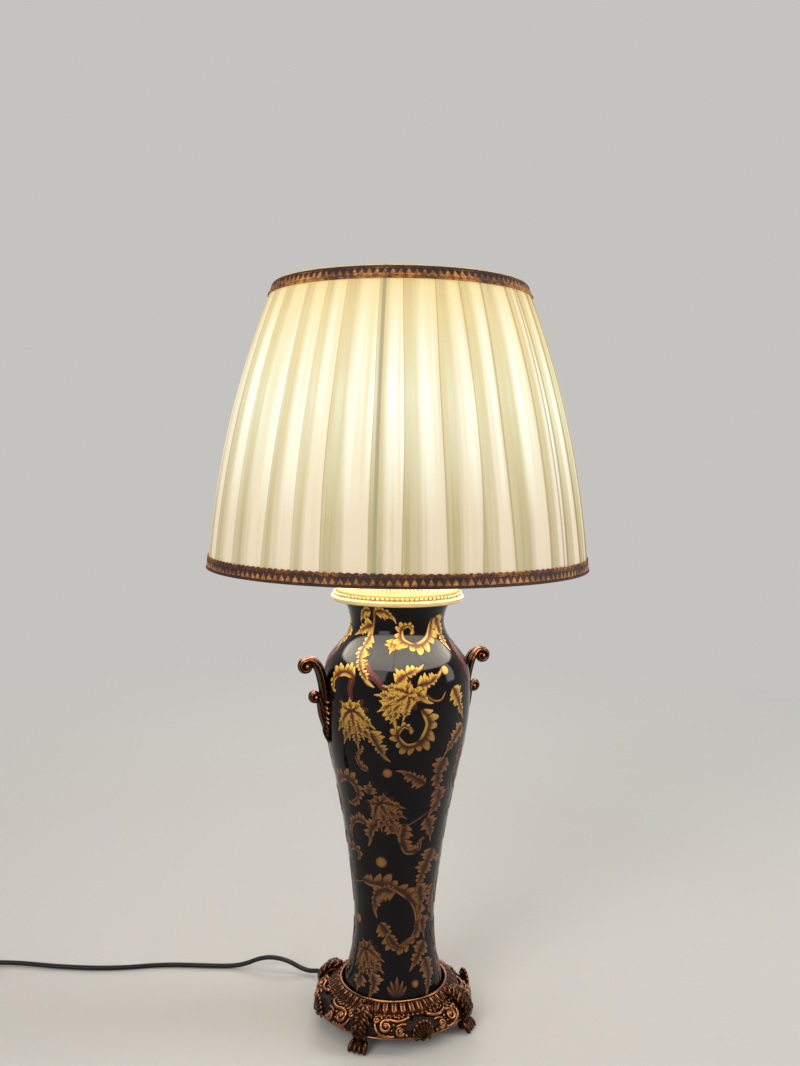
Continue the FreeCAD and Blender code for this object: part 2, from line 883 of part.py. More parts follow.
def glass_outline(shrink, neck_low):
    """Half outline of the bulb: a neck, a straight flank tangent to the globe, and the globe."""
    globe = bulb_globe_radius - shrink
    centre = bulb_tip_bottom + bulb_length - bulb_globe_radius
    neck = bulb_cap_radius - shrink
    neck_high = bulb_tip_bottom + bulb_tip_height / 2 + bulb_cap_height + 4
    away = math.hypot(neck, centre - neck_high)
    angle = math.atan2(neck_high - centre, neck) + math.acos(globe / away)
    touch = vec(globe * math.cos(angle), 0, centre + globe * math.sin(angle))
    middle_angle = (angle + math.pi / 2) / 2
    middle = vec(globe * math.cos(middle_angle), 0, centre + globe * math.sin(middle_angle))
    top = vec(0, 0, centre + globe)
    low = vec(neck, 0, neck_low)
    bottom = vec(0, 0, neck_low)
    wire = Part.Wire([
        Part.makeLine(bottom, low),
        Part.makeLine(low, vec(neck, 0, neck_high)),
        Part.makeLine(vec(neck, 0, neck_high), touch),
        Part.Arc(touch, middle, top).toShape(),
        Part.makeLine(top, bottom),
    ])
    return Part.Face(wire).revolve(origin, up, 360)


def make_bulb():
    cap_bottom = bulb_tip_bottom + bulb_tip_height / 2
    cap_high = cap_bottom + bulb_cap_height
    tip = Part.makeCylinder(bulb_tip_radius, bulb_tip_height, vec(0, 0, bulb_tip_bottom))
    tip_bore = bulb_tip_radius + running_gap
    cap = turned([
        (tip_bore, cap_bottom),
        (bulb_cap_radius - 4, cap_bottom),
        (bulb_cap_radius, cap_bottom + 3.5),
        (bulb_cap_radius, cap_high),
        (bulb_cap_radius - bulb_cap_wall, cap_high),
        (bulb_cap_radius - bulb_cap_wall, cap_bottom + 4.2),
        (bulb_cap_radius - 4.6, cap_bottom + 1.4),
        (tip_bore, cap_bottom + 1.4),
    ])
    glass = glass_outline(0, cap_high).cut(glass_outline(bulb_glass_wall, cap_high - 1))
    return tip, cap, glass


def make_finial():
    low = hub_top + face_gap
    bore = stud_radius + running_gap
    bush = tube(finial_bush_radius, bore, low, low + finial_bush_length)
    knob_bore = finial_bush_radius + running_gap
    top = low + finial_height
    inside_top = low + finial_bush_length + face_gap + 3.5
    knob = turned([
        (knob_bore, low),
        (finial_radius - 0.6, low),
        (finial_radius - 0.6, low + 2.0),
        (finial_radius - 2.2, low + 3.4),
        (finial_radius - 2.2, low + 5.0),
        (finial_radius, low + 8.5),
        (finial_radius, low + 13.0),
        (finial_radius - 2.4, low + 17.5),
        (finial_radius - 5.0, top - 2.0),
        (finial_radius - 6.0, top),
        (0, top),
        (0, inside_top),
        (knob_bore, inside_top),
    ])
    return bush, knob


def make_gland():
    heading = polar(1, gland_angle)
    lug_out = gland_lug_radius
    lug_in = gland_lug_radius - gland_lug_thickness
    end = gland_end_radius
    tail = end - gland_tail_length

    def at(radius):
        return heading * radius + vec(0, 0, gland_height)

    pieces = [
        rod(at(lug_in - gland_flange_thickness), at(lug_in), gland_flange_radius),
        rod(at(lug_in - 0.5), at(lug_out + 0.5), gland_body_radius),
        rod(at(lug_out), at(tail), gland_flange_radius),
    ]
    cone = Part.makeCone(gland_flange_radius - 0.8, cord_radius + gland_tip_wall, end - tail, at(tail), heading)
    body = joined(pieces + [cone])
    return body.cut(rod(at(lug_in - 10), at(end + 10), cord_radius)), at(end), heading


def make_inner_lead(exit_point, heading):
    bend = lead_bend_radius
    corner = vec(0, 0, gland_height)
    first = corner + heading * bend
    last = corner + vec(0, 0, bend)
    centre = first + vec(0, 0, bend)
    inward = corner - centre
    inward.normalize()
    end = vec(0, 0, pipe_top - 1)
    edges = [
        Part.LineSegment(exit_point, first).toShape(),
        Part.Arc(first, centre + inward * bend, last).toShape(),
        Part.LineSegment(last, end).toShape(),
    ]
    return swept(edges, cord_radius, "inner lead")[0]


def coil_place(turn, centre, outer_radius):
    """Point and heading of the two-layer coil after so many turns from its outer entry."""
    half = coil_turns / 2
    angle = math.radians(coil_entry_angle) + 2 * math.pi * turn
    inward = turn <= half
    radius = outer_radius - coil_pitch * (turn if inward else coil_turns - turn)
    rate = -coil_pitch / (2 * math.pi) * (1 if inward else -1)
    if abs(turn - half) < 1e-6:
        rate = 0
    climb = min(max((turn - half + 0.25) / 0.5, 0), 1)
    height = coil_lift + coil_pitch * (1 - math.cos(math.pi * climb)) / 2
    slope = coil_pitch * math.sin(math.pi * climb) / 2
    if climb in (0, 1):
        slope = 0
    place = centre + vec(radius * math.cos(angle), radius * math.sin(angle), height)
    heading = vec(rate * math.cos(angle) - radius * math.sin(angle),
                  rate * math.sin(angle) + radius * math.cos(angle), slope)
    if turn in (0, coil_turns):
        heading = vec(-math.sin(angle), math.cos(angle), 0)
    heading.normalize()
    return place, heading


def coil_edges(entry, outer_radius):
    angle = math.radians(coil_entry_angle)
    centre = vec(entry.x - outer_radius * math.cos(angle), entry.y - outer_radius * math.sin(angle), 0)
    places = [coil_place(k / 4, centre, outer_radius) for k in range(4 * coil_turns + 1)]
    edges = []
    for (a, heading_a), (b, heading_b) in zip(places, places[1:]):
        edges += biarc(a, heading_a, b, heading_b)
    return edges, centre


def least_gap(edges, radius):
    """Least gap of a wound tube to itself, between points about 2 mm apart along it."""
    points = []
    travelled = 0
    for edge in edges:
        count = max(int(edge.Length / 2), 1)
        for k in range(count):
            share = k / count
            here = edge.valueAt(edge.FirstParameter + (edge.LastParameter - edge.FirstParameter) * share)
            points.append((travelled + edge.Length * share, here))
        travelled += edge.Length
    least = 1e9
    for k, (along_a, a) in enumerate(points):
        for along_b, b in points[k + 1:]:
            if along_b - along_a > 12 * radius:
                least = min(least, a.distanceToPoint(b))
    return least - 2 * radius


def make_cord(exit_point):
    lead_places = [exit_point] + [vec(*p) for p in lead_points]
    lead, lead_length = swept(rounded_edges(lead_places, "cord lead"), cord_radius, "cord lead")
    entry = lead_places[-1]
    heading = entry - lead_places[-2]
    print("entry heading", math.degrees(math.atan2(heading.y, heading.x)), "wanted", coil_entry_angle + 90)
    onward = polar(1, coil_entry_angle + 90)
    aside = polar(1, coil_entry_angle)
    tail_start = vec(entry.x, entry.y, coil_lift + coil_pitch)
    tail_places = [tail_start]
    for side, ahead, drop in tail_steps:
        tail_places.append(tail_places[-1] + aside * side + onward * ahead + vec(0, 0, drop))
    tail, tail_length = swept(rounded_edges(tail_places, "cord tail"), cord_radius, "cord tail")
    mean = (cord_length - lead_length - tail_length) / (2 * math.pi * coil_turns)
    outer_radius = mean + coil_pitch * coil_turns / 4
    edges, centre = coil_edges(entry, outer_radius)
    coil, coil_length = swept(edges, cord_radius, "cord coil")
    print("coil mean radius", round(mean, 2), "outer", round(outer_radius, 2), "least gap",
          round(least_gap(edges, cord_radius), 2))
    print("cord length in all", round(lead_length + coil_length + tail_length, 1))
    print("coil centre", centre)
    inner_radius = outer_radius - coil_pitch * coil_turns / 2
    return lead, coil, tail, tail_places, centre, inner_radius, outer_radius


def make_tie(centre, inner_radius, outer_radius):
    near = inner_radius - cord_radius - tie_gap - 0.5
    far = outer_radius + cord_radius + tie_gap
    top = coil_lift + coil_pitch + cord_radius + tie_gap + tie_thickness
    outer = Part.makeBox(far - near + 2 * tie_thickness, tie_width, top,
                         vec(near - tie_thickness, -tie_width / 2, 0))
    inner = Part.makeBox(far - near, tie_width + 2, top - 2 * tie_thickness,
                         vec(near, -tie_width / 2 - 1, tie_thickness))
    band = around(outer.cut(inner), coil_entry_angle + 180)
    band.translate(centre)
    return band


def make_plug(start, heading):
    """Flat plug lying on the floor, built along +X from the cord's end and then turned into place."""
    half = plug_width / 2
    neck = plug_neck_width / 2
    begin = plug_relief_length
    end = begin + plug_length
    outline = [(begin, -neck), (begin + 12, -half), (end, -half), (end, half), (begin + 12, half), (begin, neck)]
    low = -plug_thickness / 2
    points = [vec(x, y, low) for x, y in outline]
    body = Part.Face(Part.makePolygon(points + [points[0]])).extrude(vec(0, 0, plug_thickness))
    edges = [e for e in body.Edges if abs(e.tangentAt(e.FirstParameter).z) > 0.9]
    body = body.makeFillet(2.0, edges)
    cone = Part.makeCone(cord_radius + gland_tip_wall, plug_relief_radius, begin + 0.5, origin, vec(1, 0, 0))
    body = joined([body, cone])
    blades = []
    for side in (-1, 1):
        centre = side * blade_spacing / 2
        blade = Part.makeBox(blade_length + 4, blade_thickness, blade_width,
                             vec(end - 4, centre - blade_thickness / 2, -blade_width / 2))
        body = body.cut(blade)
        blades.append(blade)
    angle = math.degrees(math.atan2(heading.y, heading.x))
    placed = []
    for shape in (body, Part.makeCompound(blades)):
        shape = around(shape, angle)
        shape.translate(start)
        placed.append(shape)
    return placed


ring = make_base_ring()
save(ring, "base_ring")
skirt, skirt_full = make_skirt()
save(skirt, "base_skirt")
foot = make_foot(ring, skirt_full)
feet = {"front_right": 270, "back_right": 0, "back_left": 90, "front_left": 180}
for place, angle in feet.items():
    save(around(foot, angle), "paw_foot_" + place)
pendant = make_pendant(skirt_full, ring)
for place, angle in {"right": 0, "back": 90, "left": 180, "front": 270}.items():
    save(around(pendant, angle), "shell_pendant_" + place)
head_start = polar(skirt_inside - screw_head_height, 45, foot_screw_height())
head_end = polar(skirt_inside, 45, foot_screw_height())
wall_cylinder = Part.makeCylinder(skirt_inside, base_height, origin)
screw_head = rod(head_start, head_end + polar(1, 45), screw_head_radius).common(wall_cylinder)
screw_shank = rod(head_start, polar(skirt_inside + foot_screw_length, 45, foot_screw_height()), foot_screw_radius)
screw = joined([screw_head, screw_shank])
save(Part.makeCompound([around(screw, 90 * k) for k in range(4)]), "foot_screws")

save(tube(washer_radius, pipe_hole, ring_underside - washer_thickness, ring_underside), "base_washer")
nut_bottom = ring_underside - washer_thickness - nut_height
save(hex_nut(nut_width, pipe_radius, nut_bottom, nut_height), "base_nut")
save(tube(pipe_radius, pipe_bore, pipe_bottom, pipe_top), "lamp_pipe")
gasket_outer = vase_foot_radius - 1.5
save(tube(gasket_outer, gasket_outer - 9, seat_height, vase_bottom), "lower_gasket")

vase, vase_filled = make_vase()
bolt_start = waist_radius / 2
bolt_end = shoulder_radius + pad_thickness
for z in handle_screw_heights():
    for start, end in ((-bolt_end, -bolt_start), (bolt_start, bolt_end)):
        vase = vase.cut(rod(vec(start, 0, z), vec(end, 0, z), handle_screw_radius + bolt_gap))
save(vase, "vase_body")
save(tube(lip_radius, lip_radius - vase_wall, vase_top, cap_seat), "upper_gasket")
save(make_cap(), "vase_cap")

handle = make_handle(vase_filled)
screws = []
for z in handle_screw_heights():
    for side in (-1, 1):
        screws.append(make_handle_screw(z, vase, side))
    shank_end = surface_radius(z) + pad_thickness - 1.5
    handle = handle.cut(rod(vec(bolt_start, 0, z), vec(shank_end, 0, z), handle_screw_radius))
save(handle, "handle_right")
save(around(handle, 180), "handle_left")
save(Part.makeCompound(screws), "handle_screws")

save(turned([
    (pipe_hole, cap_top),
    (spacer_foot_radius, cap_top),
    (spacer_foot_radius, cap_top + 2),
    (spacer_radius, cap_top + 5),
    (spacer_radius, saddle_bottom - 7),
    (spacer_foot_radius + 0.5, saddle_bottom - 3),
    (spacer_foot_radius + 0.5, saddle_bottom),
    (pipe_hole, saddle_bottom),
]), "neck_spacer")
save(make_saddle(), "harp_saddle")
save(hex_nut(nut_width, pipe_radius, saddle_top, lock_nut_height), "lock_nut")
harp, harp_low, harp_top = make_harp()
save(harp, "harp")
save(make_ferrule(-1), "harp_ferrule_left")
save(make_ferrule(1), "harp_ferrule_right")
block_low = hub_bottom - stud_block_height
block = Part.makeCylinder(stud_block_radius, stud_block_height, vec(0, 0, block_low))
stud = Part.makeCylinder(stud_radius, stud_length + 1, vec(0, 0, hub_bottom - 1))
save(joined([block, stud]).cut(harp), "harp_stud")

save(make_socket_cap(), "socket_cap")
shell = tube(socket_radius, socket_radius - socket_wall, shell_bottom, shell_top).cut(switch_hole())
save(shell, "socket_shell")
save(make_insulator(), "socket_insulator")
save(tube(liner_bore + liner_wall, liner_bore, insulator_top, insulator_top + liner_height), "socket_screw_liner")
save(Part.makeCylinder(contact_radius, contact_thickness, vec(0, 0, insulator_top)), "socket_contact")
save(make_switch_knob(), "switch_knob")
bulb_tip, bulb_cap, bulb_glass = make_bulb()
save(bulb_tip, "bulb_contact")
save(bulb_cap, "bulb_cap")
save(bulb_glass, "bulb_glass")

top_ring, top_major = frame_ring(shade_top - frame_wire_radius)
bottom_ring, bottom_major = frame_ring(shade_bottom + frame_wire_radius)
save(top_ring, "shade_top_ring")
save(bottom_ring, "shade_bottom_ring")
for k in range(rib_count):
    angle = rib_first_angle + 360 / rib_count * k
    save(make_rib(angle, [top_ring, bottom_ring]), "shade_rib_" + str(k + 1))
save(make_spider(top_ring, top_major), "shade_spider")
save(make_cloth(), "shade_cloth")
save(make_trim(shade_top - trim_width), "shade_trim_top")
save(make_trim(shade_bottom), "shade_trim_bottom")
finial_bush, finial_knob = make_finial()
save(finial_bush, "finial_bush")
save(finial_knob, "finial_knob")

gland, gland_exit, gland_heading = make_gland()
save(gland, "cord_gland")
save(make_inner_lead(gland_exit, gland_heading), "inner_lead")
lead, coil, tail, tail_places, coil_centre, coil_inner, coil_outer = make_cord(gland_exit)
save(lead, "cord_lead")
save(coil, "cord_coil")
save(tail, "cord_tail")
save(make_tie(coil_centre, coil_inner, coil_outer), "cord_tie")
plug, blades = make_plug(tail_places[-1], tail_places[-1] - tail_places[-2])
save(plug, "plug_body")
save(blades, "plug_blades")
print("heights: vase top", vase_top, "saddle", saddle_bottom, "shade", shade_bottom, shade_top,
      "top", hub_top + face_gap + finial_height)
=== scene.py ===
import math
import random
import bmesh
import bpy
from mathutils import Matrix, Quaternion, Vector


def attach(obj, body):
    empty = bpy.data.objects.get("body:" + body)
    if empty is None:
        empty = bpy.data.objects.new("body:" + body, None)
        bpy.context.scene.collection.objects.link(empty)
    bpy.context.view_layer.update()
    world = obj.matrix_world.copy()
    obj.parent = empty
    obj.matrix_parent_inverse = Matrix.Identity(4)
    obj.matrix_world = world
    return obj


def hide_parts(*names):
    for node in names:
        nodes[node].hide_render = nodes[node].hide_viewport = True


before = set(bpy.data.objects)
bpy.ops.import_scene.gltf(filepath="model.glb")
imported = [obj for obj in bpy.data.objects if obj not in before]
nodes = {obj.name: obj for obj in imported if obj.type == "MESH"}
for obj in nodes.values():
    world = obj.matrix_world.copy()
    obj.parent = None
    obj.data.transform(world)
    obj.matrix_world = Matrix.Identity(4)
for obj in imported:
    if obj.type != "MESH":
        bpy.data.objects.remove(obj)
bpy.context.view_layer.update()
print("frame loaded:", len(nodes), "nodes")

mm = 0.001  # shapes are drawn in millimetres and made in metres
upward, sideways = Vector((0, 0, 1)), Vector((0, 1, 0))


def polar(radius, degrees, z=0.0):
    angle = math.radians(degrees)
    return Vector((radius * math.cos(angle), radius * math.sin(angle), z))


def mix(a, b, t):
    return a + (b - a) * t


def taper(a, b, count):
    return [mix(a, b, i / (count - 1)) for i in range(count)]


def swell(a, b, count, full):
    # widths that grow from a to b and shrink again over a number of steps
    return [mix(a, b, math.sin(math.pi * min(1.0, i / full))) for i in range(count)]


def fade(x, low, high):
    t = min(max((x - low) / (high - low), 0.0), 1.0)
    return t * t * (3 - 2 * t)


def teardrop(t, full=0.45):
    # half width of a leaf lobe along its length, 0 to 1
    return math.sin(math.pi * min(max(t, 0.0), 1.0) ** full) ** 0.75


def smoothPath(points, count):
    # Catmull-Rom curve through the points
    pts = [Vector(p) for p in points]
    pts = [pts[0] * 2 - pts[1]] + pts + [pts[-1] * 2 - pts[-2]]
    spans = len(pts) - 3
    path = []
    for i in range(count):
        t = i / (count - 1) * spans
        k = min(int(t), spans - 1)
        t -= k
        a, b, c, d = pts[k:k + 4]
        path.append((b * 2 + (c - a) * t + (a * 2 - b * 5 + c * 4 - d) * t ** 2
                     + (b * 3 - a - c * 3 + d) * t ** 3) * 0.5)
    return path


def spiral(start, end, degrees, turns, count):
    # flat spiral round the origin, from one radius to another
    path = []
    for i in range(count):
        t = i / (count - 1)
        a = math.radians(degrees + 360 * turns * t)
        path.append(Vector((math.cos(a), math.sin(a))) * mix(start, end, t))
    return path


def inPlane(points, x=0, y=0, z=0):
    # flat points stood up in the X-Z plane round one spot
    return [Vector((x + a, y, z + b)) for a, b in points]


def walk(start, heading, length, curl, steps):
    # flat path that bends steadily
    path, here = [], Vector(start)
    for i in range(steps + 1):
        path.append(here.copy())
        a = math.radians(heading + curl * i / steps)
        here = here + Vector((math.cos(a), math.sin(a))) * (length / steps)
    return path


def link(name, data):
    piece = bpy.data.objects.new(name, data)
    bpy.context.scene.collection.objects.link(piece)
    return piece


def dress(piece, body, *replaced):
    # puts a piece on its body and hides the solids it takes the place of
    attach(piece, body)
    if replaced:
        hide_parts(*replaced)
    return piece


class Shape:
    # points, faces and a tone for each point, made into one object

    def __init__(self):
        self.points, self.faces, self.tones = [], [], []

    def grid(self, rows, wrap=False, close=False, tones=None, flip=False):
        base = len(self.points)
        count, wide = len(rows), len(rows[0])
        for i, row in enumerate(rows):
            self.points += row
            self.tones += tones[i] if tones else [0.0] * wide
        for i in range(count if close else count - 1):
            for j in range(wide if wrap else wide - 1):
                k, m = (i + 1) % count, (j + 1) % wide
                face = [base + i * wide + j, base + i * wide + m, base + k * wide + m, base + k * wide + j]
                self.faces.append(face[::-1] if flip else face)

    def turned(self, outline, segments, reed=None, wrap=False):
        # revolves (radius, height) points; reed(radius, height, degrees) may change the radius
        rows = []
        for j in range(segments):
            degrees = 360 * j / segments
            rows.append([polar(reed(r, z, degrees) if reed else r, degrees, z) for r, z in outline])
        self.grid(rows, wrap=wrap, close=True)

    def tube(self, path, radii, sides=8, flat=1.0, hint=upward, tone=0.0, capped=True, flutes=0, depth=0.0):
        # round or flattened rod along a path; hint is the direction that flat squeezes
        count = len(path)
        rows = []
        for i, p in enumerate(path):
            ahead = (path[min(i + 1, count - 1)] - path[max(i - 1, 0)]).normalized()
            across = ahead.cross(hint)
            if across.length < 1e-5:
                across = ahead.orthogonal()
            across.normalize()
            lift = across.cross(ahead)
            row = []
            for j in range(sides):
                a = 2 * math.pi * j / sides
                r = (radii[i] if isinstance(radii, list) else radii) * (1 + depth * math.cos(flutes * a))
                row.append(p + across * (r * math.cos(a)) + lift * (r * flat * math.sin(a)))
            rows.append(row)
        self.grid(rows, wrap=True, tones=[[tone] * sides] * count)
        if capped:
            base = len(self.points) - count * sides
            self.faces.append([base + j for j in range(sides)])
            self.faces.append([base + (count - 1) * sides + j for j in reversed(range(sides))])

    def ball(self, centre, radius, scale=(1, 1, 1), turn=None, rings=8, sides=12):
        rows = []
        for i in range(rings + 1):
            ring = []
            for j in range(sides):
                p = polar(math.sin(math.pi * i / rings), 360 * j / sides, math.cos(math.pi * i / rings))
                p = Vector([a * b * radius for a, b in zip(p, scale)])
                ring.append(Vector(centre) + (turn @ p if turn else p))
            rows.append(ring)
        self.grid(rows, wrap=True, flip=True)

    def make(self, name, material, body, *replaced, angle=40, turn=0.0, outward=True):
        data = bpy.data.meshes.new(name)
        data.from_pydata([Vector(p) * mm for p in self.points], [], self.faces)
        if outward:
            skin = bmesh.new()
            skin.from_mesh(data)
            bmesh.ops.recalc_face_normals(skin, faces=skin.faces)
            skin.to_mesh(data)
            skin.free()
        attribute = data.attributes.new("tone", "FLOAT", "POINT")
        attribute.data.foreach_set("value", self.tones)
        data.validate()
        data.polygons.foreach_set("use_smooth", [True] * len(data.polygons))
        data.set_sharp_from_angle(angle=math.radians(angle))
        data.materials.append(material)
        piece = link(name, data)
        piece.rotation_euler.z = math.radians(turn)
        return dress(piece, body, *replaced)


def castRound(shape, stem, node, turns, voxel, rounds):
    # melts a casting's overlapping forms into one skin and repeats it round the lamp
    first = None
    for name, turn in turns.items():
        if first is None:
            first = shape.make(stem + name, antiqueBronze, "lamp", node + name, turn=turn)
            melt = first.modifiers.new("melt", "REMESH")
            melt.mode = "VOXEL"
            melt.voxel_size = voxel * mm
            melt.use_smooth_shade = True
            ease = first.modifiers.new("ease", "SMOOTH")
            ease.factor = 0.5
            ease.iterations = rounds
        else:
            piece = first.copy()
            piece.name = stem + name
            bpy.context.scene.collection.objects.link(piece)
            piece.rotation_euler.z = math.radians(turn)
            dress(piece, "lamp", node + name)


class Coat:
    # shader nodes of one material, group or world; most methods give back a socket

    def __init__(self, tree):
        self.tree = tree

    def feed(self, socket, value):
        if isinstance(value, bpy.types.NodeSocket):
            self.tree.links.new(value, socket)
        else:
            socket.default_value = (*value, 1.0) if socket.type == "RGBA" else value

    def put(self, kind, settings=None, **values):
        # values go to the inputs of that name, or of that number where they are called i0, i1 and so on
        item = self.tree.nodes.new("ShaderNode" + kind)
        for key, value in (settings or {}).items():
            setattr(item, key, value)
        for key, value in values.items():
            self.feed(item.inputs[int(key[1:]) if key[1:].isdigit() else key.replace("_", " ")], value)
        return item

    def surface(self, **values):
        shader = self.tree.nodes["Principled BSDF"]
        for key, value in values.items():
            self.feed(shader.inputs[key.replace("_", " ")], value)

    def maths(self, kind, a, b=0.0, c=0.0, clamp=False):
        return self.put("Math", {"operation": kind, "use_clamp": clamp}, i0=a, i1=b, i2=c).outputs[0]

    def plus(self, a, b, clamp=False):
        return self.maths("ADD", a, b, clamp=clamp)

    def minus(self, a, b, clamp=False):
        return self.maths("SUBTRACT", a, b, clamp=clamp)

    def times(self, a, b, plus=0.0, clamp=False):
        return self.maths("MULTIPLY_ADD", a, b, plus, clamp)

    def blend(self, factor, first, second, mode="MIX"):
        settings = {"data_type": "RGBA", "blend_type": mode, "clamp_factor": True}
        return self.put("Mix", settings, i0=factor, i6=first, i7=second).outputs[2]

    def span(self, value, low, high):
        return self.put("MapRange", {"interpolation_type": "SMOOTHSTEP"}, Value=value, From_Min=low,
                        From_Max=high).outputs["Result"]

    def ramp(self, value, stops):
        item = self.put("ValToRGB", Fac=value)
        band = item.color_ramp
        while len(band.elements) < len(stops):
            band.elements.new(0.5)
        for element, (place, colour) in zip(band.elements, stops.items()):
            element.position = place
            element.color = (*colour, 1.0)
        return item.outputs["Color"]

    def where(self):
        return self.put("TexCoord").outputs["Object"]

    def tone(self):
        return self.put("Attribute", {"attribute_name": "tone"}).outputs["Fac"]

    def noise(self, where, scale, detail=2.0, roughness=0.5):
        item = self.put("TexNoise", Vector=where, Scale=scale, Detail=detail, Roughness=roughness)
        return item.outputs["Fac"]

    def weave(self, where, direction, scale, distortion):
        item = self.put("TexWave", {"wave_type": "BANDS", "bands_direction": direction}, Vector=where,
                        Scale=scale, Distortion=distortion, Detail=1.0)
        return item.outputs["Fac"]

    def group(self, tree, **values):
        return self.put("Group", {"node_tree": tree}, **values).outputs

    def relief(self, height, strength, distance):
        bump = self.put("Bump", Height=height, Strength=strength, Distance=distance)
        self.surface(Normal=bump.outputs["Normal"])

    def seen(self):
        # the rays that show a thing, straight, mirrored or through glass
        path = self.put("LightPath").outputs
        through = self.plus(path["Is Glossy Ray"], path["Is Transmission Ray"])
        return self.plus(path["Is Camera Ray"], through, clamp=True)


def newMaterial(name):
    material = bpy.data.materials.new(name)
    material.use_nodes = True
    return material, Coat(material.node_tree)


def newGroup(name, inputs, outputs):
    tree = bpy.data.node_groups.new(name, "ShaderNodeTree")
    for label, value in inputs.items():
        socket = tree.interface.new_socket(name=label, in_out="INPUT", socket_type="NodeSocketFloat")
        socket.default_value = value
    for label in outputs:
        tree.interface.new_socket(name=label, in_out="OUTPUT", socket_type="NodeSocketFloat")
    given, results = tree.nodes.new("NodeGroupInput").outputs, tree.nodes.new("NodeGroupOutput").inputs
    return tree, Coat(tree), given, results


def makeCastWearAndShade():
    # rubbed edges, painted shade in the hollows from ambient occlusion (with patina on the bronze) and a fine
    # cast grain, for every metal
    tree, coat, _, outputs = newGroup("castWearAndShade", {}, ("Edge", "HollowPatinaAndShade", "Grain"))
    where = coat.where()
    broad = coat.noise(where, 90.0, 3.0)
    point = coat.put("NewGeometry").outputs["Pointiness"]
    # painted shade: the hollows go dark where ambient occlusion finds them shut in
    shut = coat.put("AmbientOcclusion", {"samples": 6}, Distance=0.004).outputs["AO"]
    grain = coat.times(coat.noise(where, 300.0, 4.0, 0.6), 0.7, coat.times(broad, 0.3))
    raised = coat.plus(point, coat.times(coat.minus(broad, 0.5), 0.05))
    coat.feed(outputs["Edge"], coat.span(raised, 0.5, 0.56))
    coat.feed(outputs["HollowPatinaAndShade"], coat.minus(1.0, coat.span(shut, 0.35, 0.95)))
    coat.feed(outputs["Grain"], grain)
    return tree


def makeMottle():
    # uneven tone and height, for glaze, plastic, rubber, glass and floor
    tree, coat, inputs, outputs = newGroup("mottle", {"Scale": 40.0}, ("Tone", "Height"))
    where = coat.where()
    coat.feed(outputs["Tone"], coat.noise(where, inputs["Scale"], 5.0, 0.55))
    coat.feed(outputs["Height"], coat.noise(where, coat.times(inputs["Scale"], 6.0)))
    return tree


castWearAndShade = makeCastWearAndShade()
mottle = makeMottle()


def metal(name, hollowPatinaAndShade, middle, edge, roughness, bump=0.25, dull=0.15, metallic=1.0, shine=0.5):
    # cast or turned metal: painted shade darkens its hollows (patina too on the bronze), bright where it is
    # rubbed
    material, coat = newMaterial(name)
    wearAndShade = coat.group(castWearAndShade)
    body = coat.blend(wearAndShade["Grain"], [c * 0.8 for c in middle], [min(c * 1.2, 1) for c in middle])
    body = coat.blend(wearAndShade["HollowPatinaAndShade"], body, hollowPatinaAndShade)
    rough = coat.times(wearAndShade["HollowPatinaAndShade"], 0.25, coat.times(wearAndShade["Grain"], dull, roughness - dull / 2))
    coat.surface(Base_Color=coat.blend(wearAndShade["Edge"], body, edge), Roughness=rough, Metallic=metallic,
                 Specular_IOR_Level=shine)
    coat.relief(wearAndShade["Grain"], bump, 0.0004)
    return material


def plain(name, dark, light, roughness, scale=40.0, bump=0.1, shine=0.5, uneven=0.12, distance=0.0003):
    # glazed, moulded or rubber surface with a slight mottle
    material, coat = newMaterial(name)
    spots = coat.group(mottle, Scale=scale)
    coat.surface(Base_Color=coat.blend(spots["Tone"], dark, light), Specular_IOR_Level=shine,
                 Roughness=coat.times(spots["Tone"], uneven, roughness - uneven / 2))
    coat.relief(spots["Height"], bump, distance)
    return material


antiqueBronze = metal("antiqueBronze", (0.0015, 0.0006, 0.0004), (0.02, 0.0072, 0.0038),
                      (0.27, 0.112, 0.05), 0.25, dull=0.2)
# near-black skirt ground behind the scrolls: bronze patina, made darker still as painted shade of the recess
recessPatinaShadeBronze = metal("recessPatinaShadeBronze", (0.0015, 0.0008, 0.0005), (0.006, 0.003, 0.002),
                     (0.014, 0.007, 0.004), 0.6, metallic=0.35, shine=0.15)
castGilt = metal("castGilt", (0.16, 0.08, 0.02), (0.46, 0.315, 0.12), (0.66, 0.50, 0.25), 0.42, bump=0.2,
                 metallic=0.25, shine=0.12)
polishedBrass = metal("polishedBrass", (0.25, 0.14, 0.04), (0.80, 0.56, 0.24), (0.95, 0.78, 0.45), 0.18,
                      bump=0.05, dull=0.08)
steel = metal("steel", (0.16, 0.16, 0.16), (0.52, 0.52, 0.51), (0.75, 0.75, 0.74), 0.32, bump=0.08, dull=0.1)
frameWire = metal("frameWire", (0.30, 0.24, 0.13), (0.72, 0.60, 0.36), (0.85, 0.75, 0.5), 0.35, bump=0.05)
blackPlastic = plain("blackPlastic", (0.012, 0.012, 0.012), (0.03, 0.03, 0.03), 0.42, 90.0, 0.2)
cordRubber = plain("cordRubber", (0.004, 0.004, 0.004), (0.009, 0.009, 0.009), 0.45, 120.0, 0.15, 0.25)
gasketRubber = plain("gasketRubber", (0.10, 0.095, 0.09), (0.16, 0.15, 0.14), 0.7, 150.0, 0.3)
steatite = plain("steatite", (0.72, 0.70, 0.64), (0.82, 0.80, 0.75), 0.4, 60.0)
blackGlaze = plain("blackGlaze", (0.0015, 0.0014, 0.0018), (0.004, 0.003, 0.003), 0.09, 16.0, 0.05, 0.17,
                   uneven=0.08, distance=0.0001)


